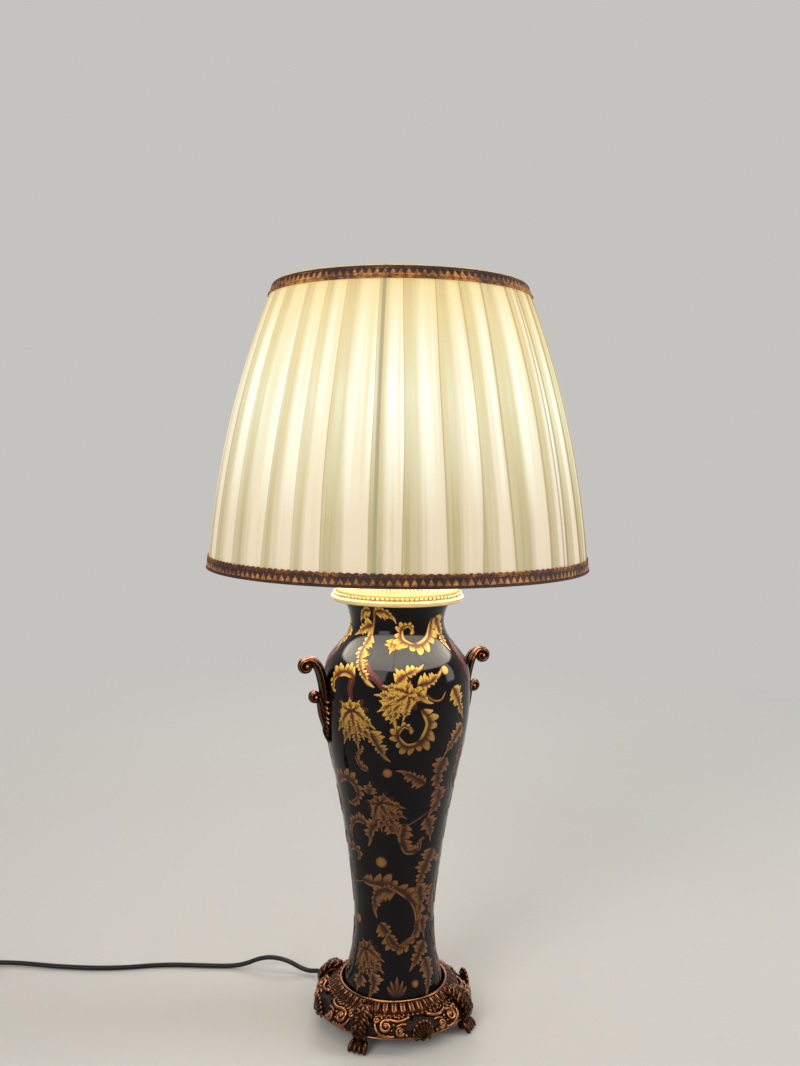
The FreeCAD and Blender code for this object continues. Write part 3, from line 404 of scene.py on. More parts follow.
def makeGilding():
    # painted gold: ochre leaves with brown seams and dark red at tone 1; painted light makes it brighter on
    # the shoulder, where the lamp's light falls, and darker below
    material, coat = newMaterial("gilding")
    where = coat.where()
    brush = coat.noise(where, 700.0, 3.0)
    tone = coat.plus(coat.tone(), coat.times(coat.minus(brush, 0.5), 0.25))
    low = coat.ramp(tone, {0.0: (0.25, 0.108, 0.022), 0.2: (0.15, 0.058, 0.013), 0.42: (0.055, 0.018, 0.006),
                           0.66: (0.02, 0.005, 0.003), 1.0: (0.012, 0.002, 0.002)})
    high = coat.ramp(tone, {0.0: (0.80, 0.57, 0.10), 0.25: (0.60, 0.36, 0.05), 0.48: (0.22, 0.085, 0.018),
                            0.7: (0.09, 0.017, 0.008), 1.0: (0.085, 0.009, 0.006)})
    # painted light and shade: darker gold low on the vase, brighter gold on the shoulder, blended by height
    height = coat.put("SeparateXYZ", Vector=where).outputs["Z"]
    coat.surface(Base_Color=coat.blend(coat.span(height, 0.27, 0.39), low, high), Metallic=0.1,
                 Roughness=coat.times(brush, 0.2, 0.3), Specular_IOR_Level=0.3)
    coat.relief(brush, 0.15, 0.0002)
    return material


def makeOpalGlass():
    material, coat = newMaterial("opalGlass")
    spots = coat.group(mottle, Scale=30.0)
    height = coat.put("SeparateXYZ", Vector=coat.where()).outputs["Z"]
    glow = coat.ramp(coat.span(height, 0.565, 0.60),
                     {0.0: (0.55, 0.42, 0.24), 0.6: (1.0, 0.86, 0.60), 1.0: (1.0, 0.93, 0.76)})
    coat.surface(Base_Color=coat.blend(spots["Tone"], (0.88, 0.87, 0.82), (0.95, 0.94, 0.90)),
                 Roughness=coat.times(spots["Tone"], 0.05, 0.16), Emission_Color=glow, Emission_Strength=14.0)
    return material


gilding = makeGilding()
opalGlass = makeOpalGlass()
print("materials made")


cordSizes = {"diameter": 5.0, "turns": 7, "pitch": 5.5, "lift": 3.4, "entryAngle": 73.7, "outerRadius": 39.32,
             "perTurn": 16, "pipeTop": 515.5}
coilCentre = Vector((-435.03, 222.46, 0.0))
cordExit = (-40.76, 82.48, 7.0)
cordRoute = [(-47.9, 96.8, 7.0), (-63.0, 109.0, 3.2), (-82.0, 122.5, 14.0), (-104.0, 137.0, 14.6),
             (-129.0, 147.0, 2.6), (-164.0, 161.0, 2.6), (-209.0, 181.0, 2.6), (-262.0, 190.0, 2.6),
             (-318.0, 214.0, 2.6), (-372.0, 245.0, 3.4)]
tailSteps = [(0.0, 20.0, 0.0), (-6.0, 22.0, -1.9), (-10.0, 16.0, 0.0)]  # outward, onward, up


def coilPoint(turn):
    # two layers: inward on the floor, then up and outward again
    half = cordSizes["turns"] / 2
    wound = turn if turn <= half else cordSizes["turns"] - turn
    radius = cordSizes["outerRadius"] - cordSizes["pitch"] * wound
    radius /= 0.75 + 0.25 * math.cos(2 * math.pi / cordSizes["perTurn"])
    climb = min(max((turn - half + 0.25) / 0.5, 0), 1)
    z = cordSizes["lift"] + cordSizes["pitch"] * (1 - math.cos(math.pi * climb)) / 2
    return polar(radius, cordSizes["entryAngle"] + 360 * turn, z) + coilCentre


def makeLine(name, route, across, along, *replaced):
    # round rubber line that follows its control points
    curve = bpy.data.curves.new(name, "CURVE")
    curve.dimensions = "3D"
    curve.bevel_depth = cordSizes["diameter"] / 2 * mm
    curve.bevel_resolution = across
    curve.resolution_u = along
    curve.use_fill_caps = True
    spline = curve.splines.new("NURBS")
    spline.points.add(len(route) - 1)
    for point, p in zip(spline.points, route):
        point.co = (*(p * mm), 1.0)
    spline.order_u = 3
    spline.use_endpoint_u = True
    curve.materials.append(cordRubber)
    return dress(link(name, curve), "lamp", *replaced)


def makeCord():
    route = [Vector(p) for p in [cordExit] + cordRoute]
    steps = cordSizes["turns"] * cordSizes["perTurn"]
    route += [coilPoint(k / cordSizes["perTurn"]) for k in range(steps + 1)]
    onward, aside = polar(1, cordSizes["entryAngle"] + 90), polar(1, cordSizes["entryAngle"])
    here = polar(cordSizes["outerRadius"], cordSizes["entryAngle"], cordSizes["lift"] + cordSizes["pitch"])
    here += coilCentre
    for side, ahead, drop in tailSteps:
        here = here + aside * side + onward * ahead + upward * drop
        route.append(here)
    cord = makeLine("mainsCord", route, 4, 6, "cord_lead", "cord_coil", "cord_tail")
    return cord, here, (route[-1] - route[-2]).normalized()


def makeInnerLead():
    # from the cord's exit along the floor of the base, round a bend and up inside the pipe
    start, corner = Vector(cordExit), upward * cordExit[2]
    inward = (corner - start).normalized()
    route = [start, start.lerp(corner, 0.4), corner - inward * 28, corner, corner + upward * 28,
             corner + upward * 220, upward * cordSizes["pipeTop"]]
    makeLine("innerLead", route, 3, 8, "inner_lead")


mainsCord, cordEnd, cordHeading = makeCord()
makeInnerLead()


tie = {"near": 16.7, "far": 42.2, "top": 12.3, "width": 8.0, "thickness": 0.6, "corner": 3.0, "head": 31.0}


def makeTie():
    # flat strap once round the coil's turns, with its small ratchet head on top
    shape = Shape()
    low, high = tie["thickness"] / 2, tie["top"] - tie["thickness"] / 2
    out = polar(1, cordSizes["entryAngle"] + 180)
    aside = Vector((-out.y, out.x, 0))
    edge, skin = tie["width"] / 2, tie["thickness"] / 2
    section = ((-skin, -edge), (skin, 0.3 - edge), (skin + 0.12, 0.0), (skin, edge - 0.3), (-skin, edge))
    corners = ((tie["near"], low, 180), (tie["far"], low, 270), (tie["far"], high, 0),
               (tie["near"], high, 90))
    rows = []
    for x, z, start in corners:
        inX = x + tie["corner"] * (1 if x == tie["near"] else -1)
        inZ = z + tie["corner"] * (1 if z == low else -1)
        for k in range(7):
            a = math.radians(start + 15 * k)
            rows.append([coilCentre + out * (inX + (tie["corner"] + lift) * math.cos(a))
                         + upward * (inZ + (tie["corner"] + lift) * math.sin(a)) + aside * wide
                         for lift, wide in section])
    shape.grid(rows, wrap=True, close=True)
    turn = Matrix.Rotation(math.radians(cordSizes["entryAngle"] + 180), 3, "Z")
    for k in (-1, 0, 1):
        middle = coilCentre + out * (tie["head"] + 1.6 * k) + upward * (tie["top"] + 0.8)
        shape.ball(middle, 2.2, (1.0, 2.1, 0.9), turn, sides=16)
    return shape.make("cordTie", blackPlastic, "lamp", "cord_tie")


# sections of the plug: share of its length, half width, half thickness and squareness
plug = {"relief": 16.0, "length": 36.0, "rings": 5, "ridges": 5, "halfWidth": 13.0,
        "sections": [(0.03, 5.2, 5.0, 2.2), (0.12, 6.6, 5.9, 2.6), (0.26, 10.4, 6.5, 3.0),
                     (0.40, 12.4, 6.8, 3.4), (0.55, 12.9, 6.9, 3.6), (0.75, 12.9, 6.95, 3.8),
                     (0.93, 13.0, 7.0, 4.0), (0.98, 12.7, 6.8, 4.0), (1.0, 12.0, 6.2, 4.0),
                     (1.0, 0.2, 0.2, 2.0)]}


def makePlug():
    # moulded plug: ribbed relief, then a waisted grip with ridges on both sides
    shape = Shape()
    sections = []
    steps = plug["rings"] * 6
    for k in range(steps + 1):
        t = k / steps
        r = mix(3.3, 4.5, t) + (0.45 if math.sin(2 * math.pi * plug["rings"] * t) > 0 else 0.0)
        sections.append((plug["relief"] * t, r, r, 2.0))
    begin, end = plug["relief"], plug["relief"] + plug["length"]
    sections += [(mix(begin, end, share), *sizes) for share, *sizes in plug["sections"]]
    rows = []
    for x, wide, thick, power in sections:
        row = []
        for j in range(48):
            c, d = math.cos(2 * math.pi * j / 48), math.sin(2 * math.pi * j / 48)
            row.append(Vector((x, wide * math.copysign(abs(c) ** (2 / power), c),
                               thick * math.copysign(abs(d) ** (2 / power), d))))
        rows.append(row)
    shape.grid(rows, wrap=True)
    for side in (-1, 1):
        for k in range(plug["ridges"]):
            x = mix(begin, end, 0.42 + 0.085 * k)
            bar = [Vector((x, side * plug["halfWidth"], z)) for z in (-4.6, -2.5, 0.0, 2.5, 4.6)]
            shape.tube(bar, [0.3, 0.75, 0.85, 0.75, 0.3])
    turn = Matrix.Rotation(math.atan2(cordHeading.y, cordHeading.x), 3, "Z")
    shape.points = [turn @ p + cordEnd for p in shape.points]
    return shape.make("mouldedPlug", blackPlastic, "lamp", "plug_body", angle=35)


makeTie()
makePlug()
print("cord made")


shade = {"top": 750.0, "bottom": 470.0, "topRadius": 125.0, "bottomRadius": 190.0, "bow": 11.0, "pleats": 33,
         "overlap": 0.42, "layer": 0.5, "ribFirst": -117.3, "ribs": 6}


def shadeRadius(z):
    # the side is an arc that bows out from its straight chord
    wide, tall = shade["bottomRadius"] - shade["topRadius"], shade["top"] - shade["bottom"]
    chord = math.hypot(wide, tall)
    radius = (chord ** 2 / 4 + shade["bow"] ** 2) / (2 * shade["bow"])
    away = radius - shade["bow"]
    centreR = (shade["bottomRadius"] + shade["topRadius"]) / 2 - tall / chord * away
    centreZ = (shade["bottom"] + shade["top"]) / 2 - wide / chord * away
    return centreR + math.sqrt(radius ** 2 - (z - centreZ) ** 2)


def makeShadeCloth():
    # painted glow: the bulb's light through the cloth is given off by the cloth itself, ivory where it is
    # single, olive where three layers lie together, whitest near the bulb
    material, coat = newMaterial("shadeCloth")
    where = coat.where()
    x, y, z = coat.put("SeparateXYZ", Vector=where).outputs
    layersAndFoldShade = coat.tone()
    low, high = shade["bottom"] * mm, shade["top"] * mm
    share = coat.put("MapRange", Value=z, From_Min=low, From_Max=high).outputs["Result"]
    radius = coat.maths("SQRT", coat.times(x, x, coat.times(y, y)))
    # rib shadows: distance along the cloth from the nearest wire
    angle = coat.minus(coat.maths("ARCTAN2", y, x), math.radians(shade["ribFirst"]))
    wave = coat.times(angle, shade["ribs"] / (2 * math.pi))
    aside = coat.maths("ABSOLUTE", coat.minus(wave, coat.maths("ROUND", wave)))
    aside = coat.times(coat.times(aside, 2 * math.pi / shade["ribs"]), radius)
    rib = coat.minus(1.0, coat.span(aside, 0.0008, 0.0024))
    single = coat.ramp(share, {0.0: (0.64, 0.51, 0.37), 0.25: (0.74, 0.62, 0.43), 0.5: (0.84, 0.77, 0.53),
                               0.75: (0.86, 0.77, 0.46), 0.92: (0.88, 0.68, 0.27), 1.0: (0.74, 0.50, 0.14)})
    triple = coat.ramp(share, {0.0: (0.26, 0.195, 0.04), 0.3: (0.36, 0.285, 0.06), 0.6: (0.54, 0.445, 0.12),
                               0.85: (0.62, 0.45, 0.10), 1.0: (0.46, 0.27, 0.04)})
    # noise drawn out along the pleats: the same place round the cone at every height
    around = coat.put("CombineXYZ", X=coat.maths("DIVIDE", x, radius), Y=coat.maths("DIVIDE", y, radius), Z=z)
    streaks, fine, threads = [
        coat.noise(coat.put("Mapping", Vector=around.outputs["Vector"], Scale=scale).outputs["Vector"], 1.0)
        for scale in ((11.0, 11.0, 2.2), (38.0, 38.0, 2.6), (120.0, 120.0, 9.0))]
    uneven = coat.times(coat.minus(fine, 0.5), 1.3)
    # painted glow: the bulb's light through one layer, dimmer through three
    glow = coat.blend(coat.times(layersAndFoldShade, 0.8, uneven, clamp=True), single, triple)
    # painted shadow along each fold's edge, where the layer value runs above 1
    glow = coat.blend(coat.times(coat.span(layersAndFoldShade, 1.1, 1.45), 0.6), glow, (0.20, 0.16, 0.05))
    # painted hot streaks of light near the bulb's height, weaker under overlapping layers
    near = coat.minus(1.0, coat.times(coat.maths("ABSOLUTE", coat.minus(share, 0.58)), 2.6), clamp=True)
    beams = coat.span(coat.times(streaks, 0.6, coat.times(fine, 0.4)), 0.42, 0.62)
    hot = coat.times(coat.times(beams, near), coat.minus(1.0, coat.times(layersAndFoldShade, 0.6)))
    glow = coat.blend(hot, glow, (1.04, 1.14, 0.98))
    glow = coat.blend(coat.times(rib, 0.7), glow, (0.10, 0.085, 0.04))
    # the inside glows more in what mirrors it than it may for the eye
    back = coat.put("NewGeometry").outputs["Backfacing"]
    mirrored = coat.times(coat.put("LightPath").outputs["Is Glossy Ray"], back)
    glow = coat.blend(coat.times(mirrored, 0.75), glow, (0.95, 0.88, 0.82))
    strength = coat.times(mirrored, 13.0, coat.times(back, 0.35, 0.82))
    weft = coat.weave(where, "Z", 520.0, 0.6)
    coat.surface(Base_Color=coat.blend(coat.times(weft, 0.3), (0.30, 0.27, 0.205), (0.22, 0.195, 0.14)),
                 Emission_Color=glow, Emission_Strength=strength, Roughness=0.75, Sheen_Weight=0.15)
    coat.relief(coat.times(weft, 0.3, coat.plus(streaks, threads)), 0.3, 0.0006)
    return material


shadeCloth = makeShadeCloth()
# outer face of a pleat, then back along its return: share of the pleat, depth in layers, and layers lying
# over it for the painted glow; above 1 it paints a shadow at the fold's edge, below 0 a highlight just before
# it
pleatSteps = [(0.0, 0.35, 1.5), (0.006, -0.6, 1.5), (0.02, -1.5, 1.25), (0.045, -1.8, 0.95),
              (0.12, -1.6, 1.0), (0.24, -1.1, 1.0), (0.34, -0.6, 0.92), (0.42, -0.3, 0.6), (0.5, 0.1, 0.2),
              (0.6, 0.4, 0.0), (0.84, 0.95, -0.1), (0.965, 1.5, -0.35), (1.02, 2.0, 1.0), (1.2, 2.2, 1.0),
              (0.98 + shade["overlap"], 2.2, 1.0), (1.0 + shade["overlap"], 1.85, 1.0),
              (0.98 + shade["overlap"], 1.5, 1.0), (1.2, 1.3, 1.0), (1.03, 1.15, 1.0), (1.005, 0.8, 1.0)]


def makePleats():
    # knife pleats: the outer face runs under the next fold, turns back and comes out at that fold
    random.seed(5)
    count, rows = shade["pleats"], 28
    folds = [360 / count * k + random.uniform(-1.7, 1.7) for k in range(count)]
    leans = [random.uniform(-1.1, 1.1) for _ in folds]
    shape = Shape()
    columns, tones = [], []
    for k in range(count):
        onward = (k + 1) % count
        width = (folds[onward] - folds[k]) % 360
        for part, depth, layersAndFoldShade in pleatSteps:
            lean = mix(leans[k], leans[onward], min(part, 1.0))
            column = []
            for i in range(rows + 1):
                rise = i / rows
                z = mix(shade["bottom"], shade["top"], rise)
                tug = lean * math.sin(math.pi * rise) + 0.12 * math.sin(9 * rise + k)
                belly = 0.5 * math.sin(math.pi * rise) * math.sin(math.pi * min(part, 1.0))
                radius = shadeRadius(z) - shade["layer"] * depth + belly - 0.2
                column.append(polar(radius, folds[k] + width * part + tug, z))
            columns.append(column)
            tones.append([layersAndFoldShade] * (rows + 1))
    shape.grid(columns, close=True, tones=tones, flip=True)
    return shape.make("pleatedShade", shadeCloth, "shade", "shade_cloth", angle=60, outward=False)


pleatedShade = makePleats()
print("shade made")


def makeBraid():
    # dark brown silk with gold thread: tone 0 is gold, 1 is brown; it also gives off a painted glow, as if
    # lit by the bulb behind it
    material, coat = newMaterial("gimpBraid")
    where = coat.where()
    thread = coat.noise(where, 900.0, 3.0)
    twist = coat.weave(where, "DIAGONAL", 420.0, 1.5)
    clumps = coat.times(coat.minus(coat.noise(where, 240.0), 0.5), 1.1)
    frayed = coat.times(coat.minus(thread, 0.5), 0.7, clumps)
    frayed = coat.times(coat.minus(coat.noise(where, 28.0), 0.45), 1.2, frayed)
    colour = coat.ramp(coat.plus(coat.tone(), frayed),
                       {0.0: (0.56, 0.28, 0.055), 0.28: (0.30, 0.115, 0.022), 0.55: (0.075, 0.02, 0.008),
                        1.0: (0.018, 0.006, 0.004)})
    coat.surface(Base_Color=coat.blend(coat.times(twist, 0.35), colour, (0.02, 0.008, 0.005)), Roughness=0.6,
                 # painted glow: the braid gives off a little orange-brown light, though it is no lamp
                 Emission_Color=coat.blend(0.5, colour, (0.30, 0.10, 0.02), "MULTIPLY"),
                 Emission_Strength=0.55)
    coat.relief(coat.plus(thread, twist), 0.5, 0.0006)
    return material


gimpBraid = makeBraid()
trim = {"width": 13.0, "period": 7.0, "steps": 10, "rows": 20, "lift": 1.1}


def isGold(rim, share, t):
    # points of gold thread on the brown ground; t runs from the lower edge to the upper
    point = 1 - abs(2 * share - 1)
    if rim == "top":
        return t < 0.36 or point > 0.3 + 1.5 * (t - 0.36) and t < 0.8
    return 0.16 < t < 0.7 and point > 1.7 * (t - 0.12) or t > 0.84


def makeTrim(rim, low):
    # woven band round a rim of the shade, with a cord at its lower edge and loops over the bottom one
    high = low + trim["width"]
    steps, last = trim["steps"], trim["rows"]
    repeats = round(2 * math.pi * shadeRadius((low + high) / 2) / trim["period"])
    shape = Shape()
    rows, tones = [], []
    for i in range(repeats * steps):
        share, degrees = (i % steps) / steps, 360 * i / (repeats * steps)
        row, shades = [], []
        for j in range(last + 1):
            t = j / last
            z = mix(low + 0.6, high - 0.8, t)
            gold = isGold(rim, share, t)
            lift = trim["lift"] + (0.35 if gold else 0.0) + 0.15 * math.sin(2 * math.pi * share * 3 + 9 * t)
            row.append(polar(shadeRadius(z) + (lift if 0 < j < last else 0.0), degrees, z))
            edge = 0.25 if t > 0.8 or t < 0.2 else 0.0
            shades.append(0.16 + 0.4 * (j % 2) * (1 - share) + edge if gold else 0.9)
        rows.append(row)
        tones.append(shades)
    shape.grid(rows, close=True, tones=tones)
    inner = [[polar(shadeRadius(z) + 0.3, 1.5 * i, z) for z in (low + 0.6, high - 1.0)] for i in range(240)]
    shape.grid(inner, close=True, tones=[[0.8, 0.6]] * 240, flip=True)
    for z, radius, tone in ((low + 1.0, 1.0, 0.3 if rim == "top" else 0.95), (high - 3.4, 0.55, 0.5)):
        ring = [polar(shadeRadius(z) + 1.2, i, z) for i in range(361)]
        shape.tube(ring, radius, tone=tone, capped=False)
    for k in range(repeats if rim == "bottom" else 0):
        arch = [polar(shadeRadius(high) + 1.2, 360 / repeats * (k + 0.5 + 0.42 * math.cos(math.pi * i / 6)),
                      high - 2.2 + 2.0 * math.sin(math.pi * i / 6)) for i in range(7)]
        shape.tube(arch, 0.5, sides=6, tone=0.3, capped=False)
    shape.make("gimpTrim." + rim, gimpBraid, "shade", "shade_trim_" + rim, angle=50)


makeTrim("top", shade["top"] - trim["width"])
makeTrim("bottom", shade["bottom"])
print("trims made")


vase = {"outline": [(52.6, 35), (43.6, 72), (41.4, 104), (46.7, 163), (60.3, 245), (72.9, 306), (75.4, 350),
                    (69.5, 378), (53.1, 398), (47.5, 414), (55.0, 437)],
        "wall": 5.0, "floor": 7, "hole": 5.5, "rows": 200, "segments": 160}


def distances(line):
    # how far along a line each of its points lies
    along = [0.0]
    for (a, b), (c, d) in zip(line, line[1:]):
        along.append(along[-1] + math.hypot(c - a, d - b))
    return along


def naturalSpline(points, count):
    # smooth curve through (radius, height) points with free ends, spaced by chord length
    n = len(points)
    t = distances(points)
    bends = []
    for axis in (0, 1):
        y = [p[axis] for p in points]
        diagonal, right, m = [1.0] * n, [0.0] * n, [0.0] * n
        for i in range(1, n - 1):
            h0, h1 = t[i] - t[i - 1], t[i + 1] - t[i]
            lower = h0 / (2 * (h0 + h1))
            upper = h1 / (2 * (h0 + h1))
            value = 3 * ((y[i + 1] - y[i]) / h1 - (y[i] - y[i - 1]) / h0) / (h0 + h1)
            share = 1 - lower * diagonal[i - 1] if i > 1 else 1.0
            diagonal[i] = upper / share
            right[i] = (value - lower * right[i - 1]) / share
        for i in range(n - 2, 0, -1):
            m[i] = right[i] - diagonal[i] * m[i + 1]
        bends.append(m)
    line = []
    k = 0
    for i in range(count):
        x = t[-1] * i / (count - 1)
        while k < n - 2 and x > t[k + 1]:
            k += 1
        h = t[k + 1] - t[k]
        a, b = (t[k + 1] - x) / h, (x - t[k]) / h
        line.append(tuple(a * points[k][j] + b * points[k + 1][j]
                          + ((a ** 3 - a) * bends[j][k] + (b ** 3 - b) * bends[j][k + 1]) * h * h / 6
                          for j in (0, 1)))
    return line


vaseLine = naturalSpline(vase["outline"], vase["rows"])
vaseAlong = distances(vaseLine)


def vaseAt(v):
    # radius, height and outward direction at a distance v along the outline
    v = min(max(v, 0.01), vaseAlong[-1] - 0.01)
    low, high = 0, len(vaseAlong) - 1
    while high - low > 1:
        half = (low + high) // 2
        low, high = (half, high) if vaseAlong[half] <= v else (low, half)
    t = (v - vaseAlong[low]) / (vaseAlong[high] - vaseAlong[low])
    (r0, z0), (r1, z1) = vaseLine[low], vaseLine[high]
    size = math.hypot(r1 - r0, z1 - z0)
    return mix(r0, r1, t), mix(z0, z1, t), (z1 - z0) / size, -(r1 - r0) / size


def alongVase(z):
    for k, ((r0, z0), (r1, z1)) in enumerate(zip(vaseLine, vaseLine[1:])):
        if z0 <= z <= z1:
            return mix(vaseAlong[k], vaseAlong[k + 1], (z - z0) / (z1 - z0))
    return vaseAlong[-1]


def makeVase():
    shape = Shape()
    bottom, lip = vaseLine[0][1], vaseLine[-1]
    inside = [(r - vase["wall"], z) for r, z in vaseLine if z > bottom + vase["floor"]]
    outline = vaseLine + [(lip[0] - vase["wall"], lip[1])] + inside[::-8]
    outline += [(vase["hole"], bottom + vase["floor"]), (vase["hole"], bottom)]
    shape.turned(outline, vase["segments"], wrap=True)
    shape.make("vaseBody", blackGlaze, "lamp", "vase_body", angle=50)


makeVase()


def pathLength(path):
    return sum((b - a).length for a, b in zip(path, path[1:]))


def headingOf(step):
    return math.degrees(math.atan2(step[1], step[0]))


class Painter:
    # draws leaves and scrolls on the vase round one spot, in millimetres right and up from it

    def __init__(self, shape, angle, z):
        self.shape, self.angle, self.base = shape, angle, alongVase(z)
        self.radius = vaseAt(self.base)[0]

    def local(self, angle, z):
        turn = (angle - self.angle + 180) % 360 - 180
        return Vector((math.radians(turn) * self.radius, alongVase(z) - self.base))

    def place(self, x, y, lift):
        r, z, outR, outZ = vaseAt(self.base + y)
        return polar(r + outR * lift, self.angle + math.degrees(x / self.radius), z + outZ * lift)

    def ribbon(self, path, widths, low, high, across, tone, tip, rise=0.0, edge=0.25):
        # raised band along a path; low and high are the heights of its edges and its middle
        last = len(path) - 1
        rows, tones = [], []
        for i, p in enumerate(path):
            ahead = path[min(i + 1, last)] - path[max(i - 1, 0)]
            side = Vector((-ahead[1], ahead[0])).normalized()
            row, shades = [], []
            for j in range(across):
                x = 2 * j / (across - 1) - 1
                q = p + side * (x * widths[i])
                row.append(self.place(q[0], q[1], low + (high - low) * (1 - x * x) + rise * i / last))
                shades.append(mix(tone, tip, i / last) + edge * x * x)
            rows.append(row)
            tones.append(shades)
        self.shape.grid(rows, tones=tones, flip=True)

    def petal(self, start, heading, length, width, curl=0.0, level=0.0, root=0.7, tip=0.0, rise=0.3):
        # single lobe over a slightly wider dark rim
        steps = 7
        path = walk(start, heading, length, curl, steps)
        widths = [width * max(teardrop((i + 0.45) / (steps + 0.9), 0.95) * (1 - 0.5 * (i / steps) ** 3), 0.12)
                  for i in range(steps + 1)]
        rim = [w + 0.32 + 0.01 * length for w in widths]
        self.ribbon(path, rim, 0.08 + level, 0.12 + level, 2, 0.95, 0.8, rise)
        self.ribbon(path, widths, 0.15 + level, 0.24 + level, 5, root, tip, rise, 0.34)

    def cane(self, path, wide, thin, level=0.0, tone=0.5, tip=0.12):
        # plain line that narrows to its end, over a dark rim
        last = len(path) - 1
        widths = [mix(wide, thin, i / last) * min(1.0, 0.3 + i / 3, 0.2 + (last - i) / 3)
                  for i in range(last + 1)]
        self.ribbon(path, [w + 0.35 for w in widths], 0.1 + level, 0.14 + level, 3, 0.95, 0.8)
        self.ribbon(path, widths, 0.17 + level, 0.28 + level, 5, tone, tip, 0.0, 0.4)

    def blade(self, path, reach, side, teeth, level=0.0, depth=0.62, lobe=3, lean=(66, -14)):
        # half of an acanthus leaf: its flow lines leave the rib forwards and open out to jagged lobes
        count = len(path) - 1
        rows, tones = [], []
        for i, p in enumerate(path):
            t = i / count
            ahead = (path[min(i + 1, count)] - path[max(i - 1, 0)]).normalized()
            aside = Vector((-ahead[1], ahead[0])) * side
            s = (t * teeth) % 1.0 if i < count else 0.0
            tooth = math.sin(0.5 * math.pi * (s / 0.66 if s < 0.66 else (1 - s) / 0.34))
            part = (t * teeth / max(lobe, 1)) % 1.0
            full = reach * math.sin(math.pi * (0.14 + 0.8 * t ** 0.6)) ** 0.7 * (1 - 0.3 * t)
            full *= (0.5 + 0.55 * math.sin(math.pi * min(1.0, part * 1.1)) ** 0.7) if lobe else 1.0
            full *= 1 + 0.1 * math.sin(5.3 * int(t * teeth) + 3 * side + reach)
            long = full * (1 - depth + depth * tooth)
            seam = max(0.0, 1 - min(s, 1 - s) / 0.2)
            row, shades, q = [], [], Vector(p)
            for j in range(6):
                v = min(j / 4, 1.0)
                turn = math.radians(mix(lean[0], lean[1], v))
                if j == 5:
                    q = q + (aside + ahead * 0.3) * 0.35
                elif j:
                    q = q + (aside * math.cos(turn) + ahead * math.sin(turn)) * (long / 4)
                bulge = 0.12 * math.sin(math.pi * v) * (1 - 0.6 * seam) if j < 5 else -0.1
                row.append(self.place(q[0], q[1], 0.2 + level + 0.2 * t + bulge))
                body = (0.8, 0.5, 0.2, 0.03, 0.06, 0.9)[j] + 0.2 * (1 - s) * v
                shades.append(body + seam * (0.0, 0.25, 0.5, 0.55, 0.4, 0.0)[j])
            rows.append(row)
            tones.append(shades)
        self.shape.grid(rows, tones=tones, flip=side > 0)

    def acanthus(self, spine, reach, left=1.0, right=1.0, level=0.0):
        teeth = 3 * min(4, max(1, round(pathLength(spine) / (0.95 * reach))))
        path = smoothPath(spine, 5 * teeth + 1)
        bend = left - right
        heading = headingOf(path[-1] - path[-4]) - 14 * bend
        self.petal(path[-10], heading, reach * 1.1, reach * 0.15, 75 * bend, level + 0.1, 0.4)
        self.blade(path, reach * right, -1, teeth, level)
        self.blade(path, reach * left, 1, teeth, level)

    # the painting's kinds of ornament

    def plume(self, spine, size, side=0):
        # whole leaf; the side that is named is the fuller one
        self.acanthus(spine, size * 1.3, 1.0 if side >= 0 else 0.5, 1.0 if side <= 0 else 0.5)

    def frond(self, spine, size, side):
        # curved scroll: jagged outside, plain and narrow inside, with a rolled end
        teeth = 3 * min(7, max(2, round(pathLength(spine) / (1.5 * size))))
        path = smoothPath(spine, 5 * teeth + 1)
        self.blade(path, size * 1.3, side, teeth, 0.0, 0.55, 3, (62, -6))
        self.blade(path, size * 0.4, -side, max(2, teeth // 4), 0.0, 0.2, 0)
        heading = headingOf(path[-1] - path[-3])
        self.petal(path[-4], heading, size * 0.6, size * 0.22, -side * 130, 0.3, 0.35, 0.05, 0.0)

    def stem(self, spine, size):
        self.cane(smoothPath(spine, 24), size, size * 0.35)

    def red(self, spine, size):
        # dark red stripe with a thin lighter line on it
        path = smoothPath(spine, 20)
        self.cane(path, size, size * 0.5, 0.05, 1.0, 0.95)
        self.cane(path, size * 0.25, size * 0.1, 0.2, 0.5, 0.6)

    def peony(self, spine, size, heading):
        # hanging bouquet of overlapping jagged leaves with a small crown, over a dark red ground
        lean = Vector((math.cos(math.radians(heading)), math.sin(math.radians(heading))))
        aside = Vector((-lean[1], lean[0]))
        under = spine[0] - lean * size * 0.3
        for k in range(9):
            self.petal(under, heading + 32 * (k - 4), size * 0.8, size * 0.2, 0, -0.05, 1.0, 1.0, 0.0)
        # for each layer: where it starts, leaves, spread in degrees, length and bend
        rows = ((0.1, 3, 40, 0.9, 12), (-0.14, 4, 72, 0.82, 34), (-0.34, 3, 60, 0.66, 40),
                (-0.42, 3, 54, -0.42, 24))
        for layer, (back, count, spread, long, bend) in enumerate(rows):
            for k in range(count):
                off = 2 * k / (count - 1) - 1
                turn = heading + spread * off + (180 if long < 0 else 0)
                start = spine[0] + lean * size * back + aside * size * 0.16 * off * (1 if long > 0 else -1)
                path = walk(start, turn, size * abs(long) * (1 - 0.12 * abs(off)), -bend * off, 5)
                self.acanthus(path, size * 0.5 * abs(long) ** 0.5, level=0.07 * layer + 0.03 * (k % 2))

    def dot(self, spine, radius):
        # low button; its rings are shares of the radius, heights and tones
        rings = ((1.12, 0.05, 0.8), (1.1, 0.14, 0.8), (1.0, 0.18, 0.5), (0.93, 0.24, 0.22), (0.6, 0.3, 0.08),
                 (0.02, 0.32, 0.0))
        rows = []
        for part, lift, _ in rings:
            ring = [spine[0] + polar(radius * part, 360 * j / 22).xy for j in range(22)]
            rows.append([self.place(p[0], p[1], lift) for p in ring])
        self.shape.grid(rows, wrap=True, tones=[[tone] * 22 for _, _, tone in rings])

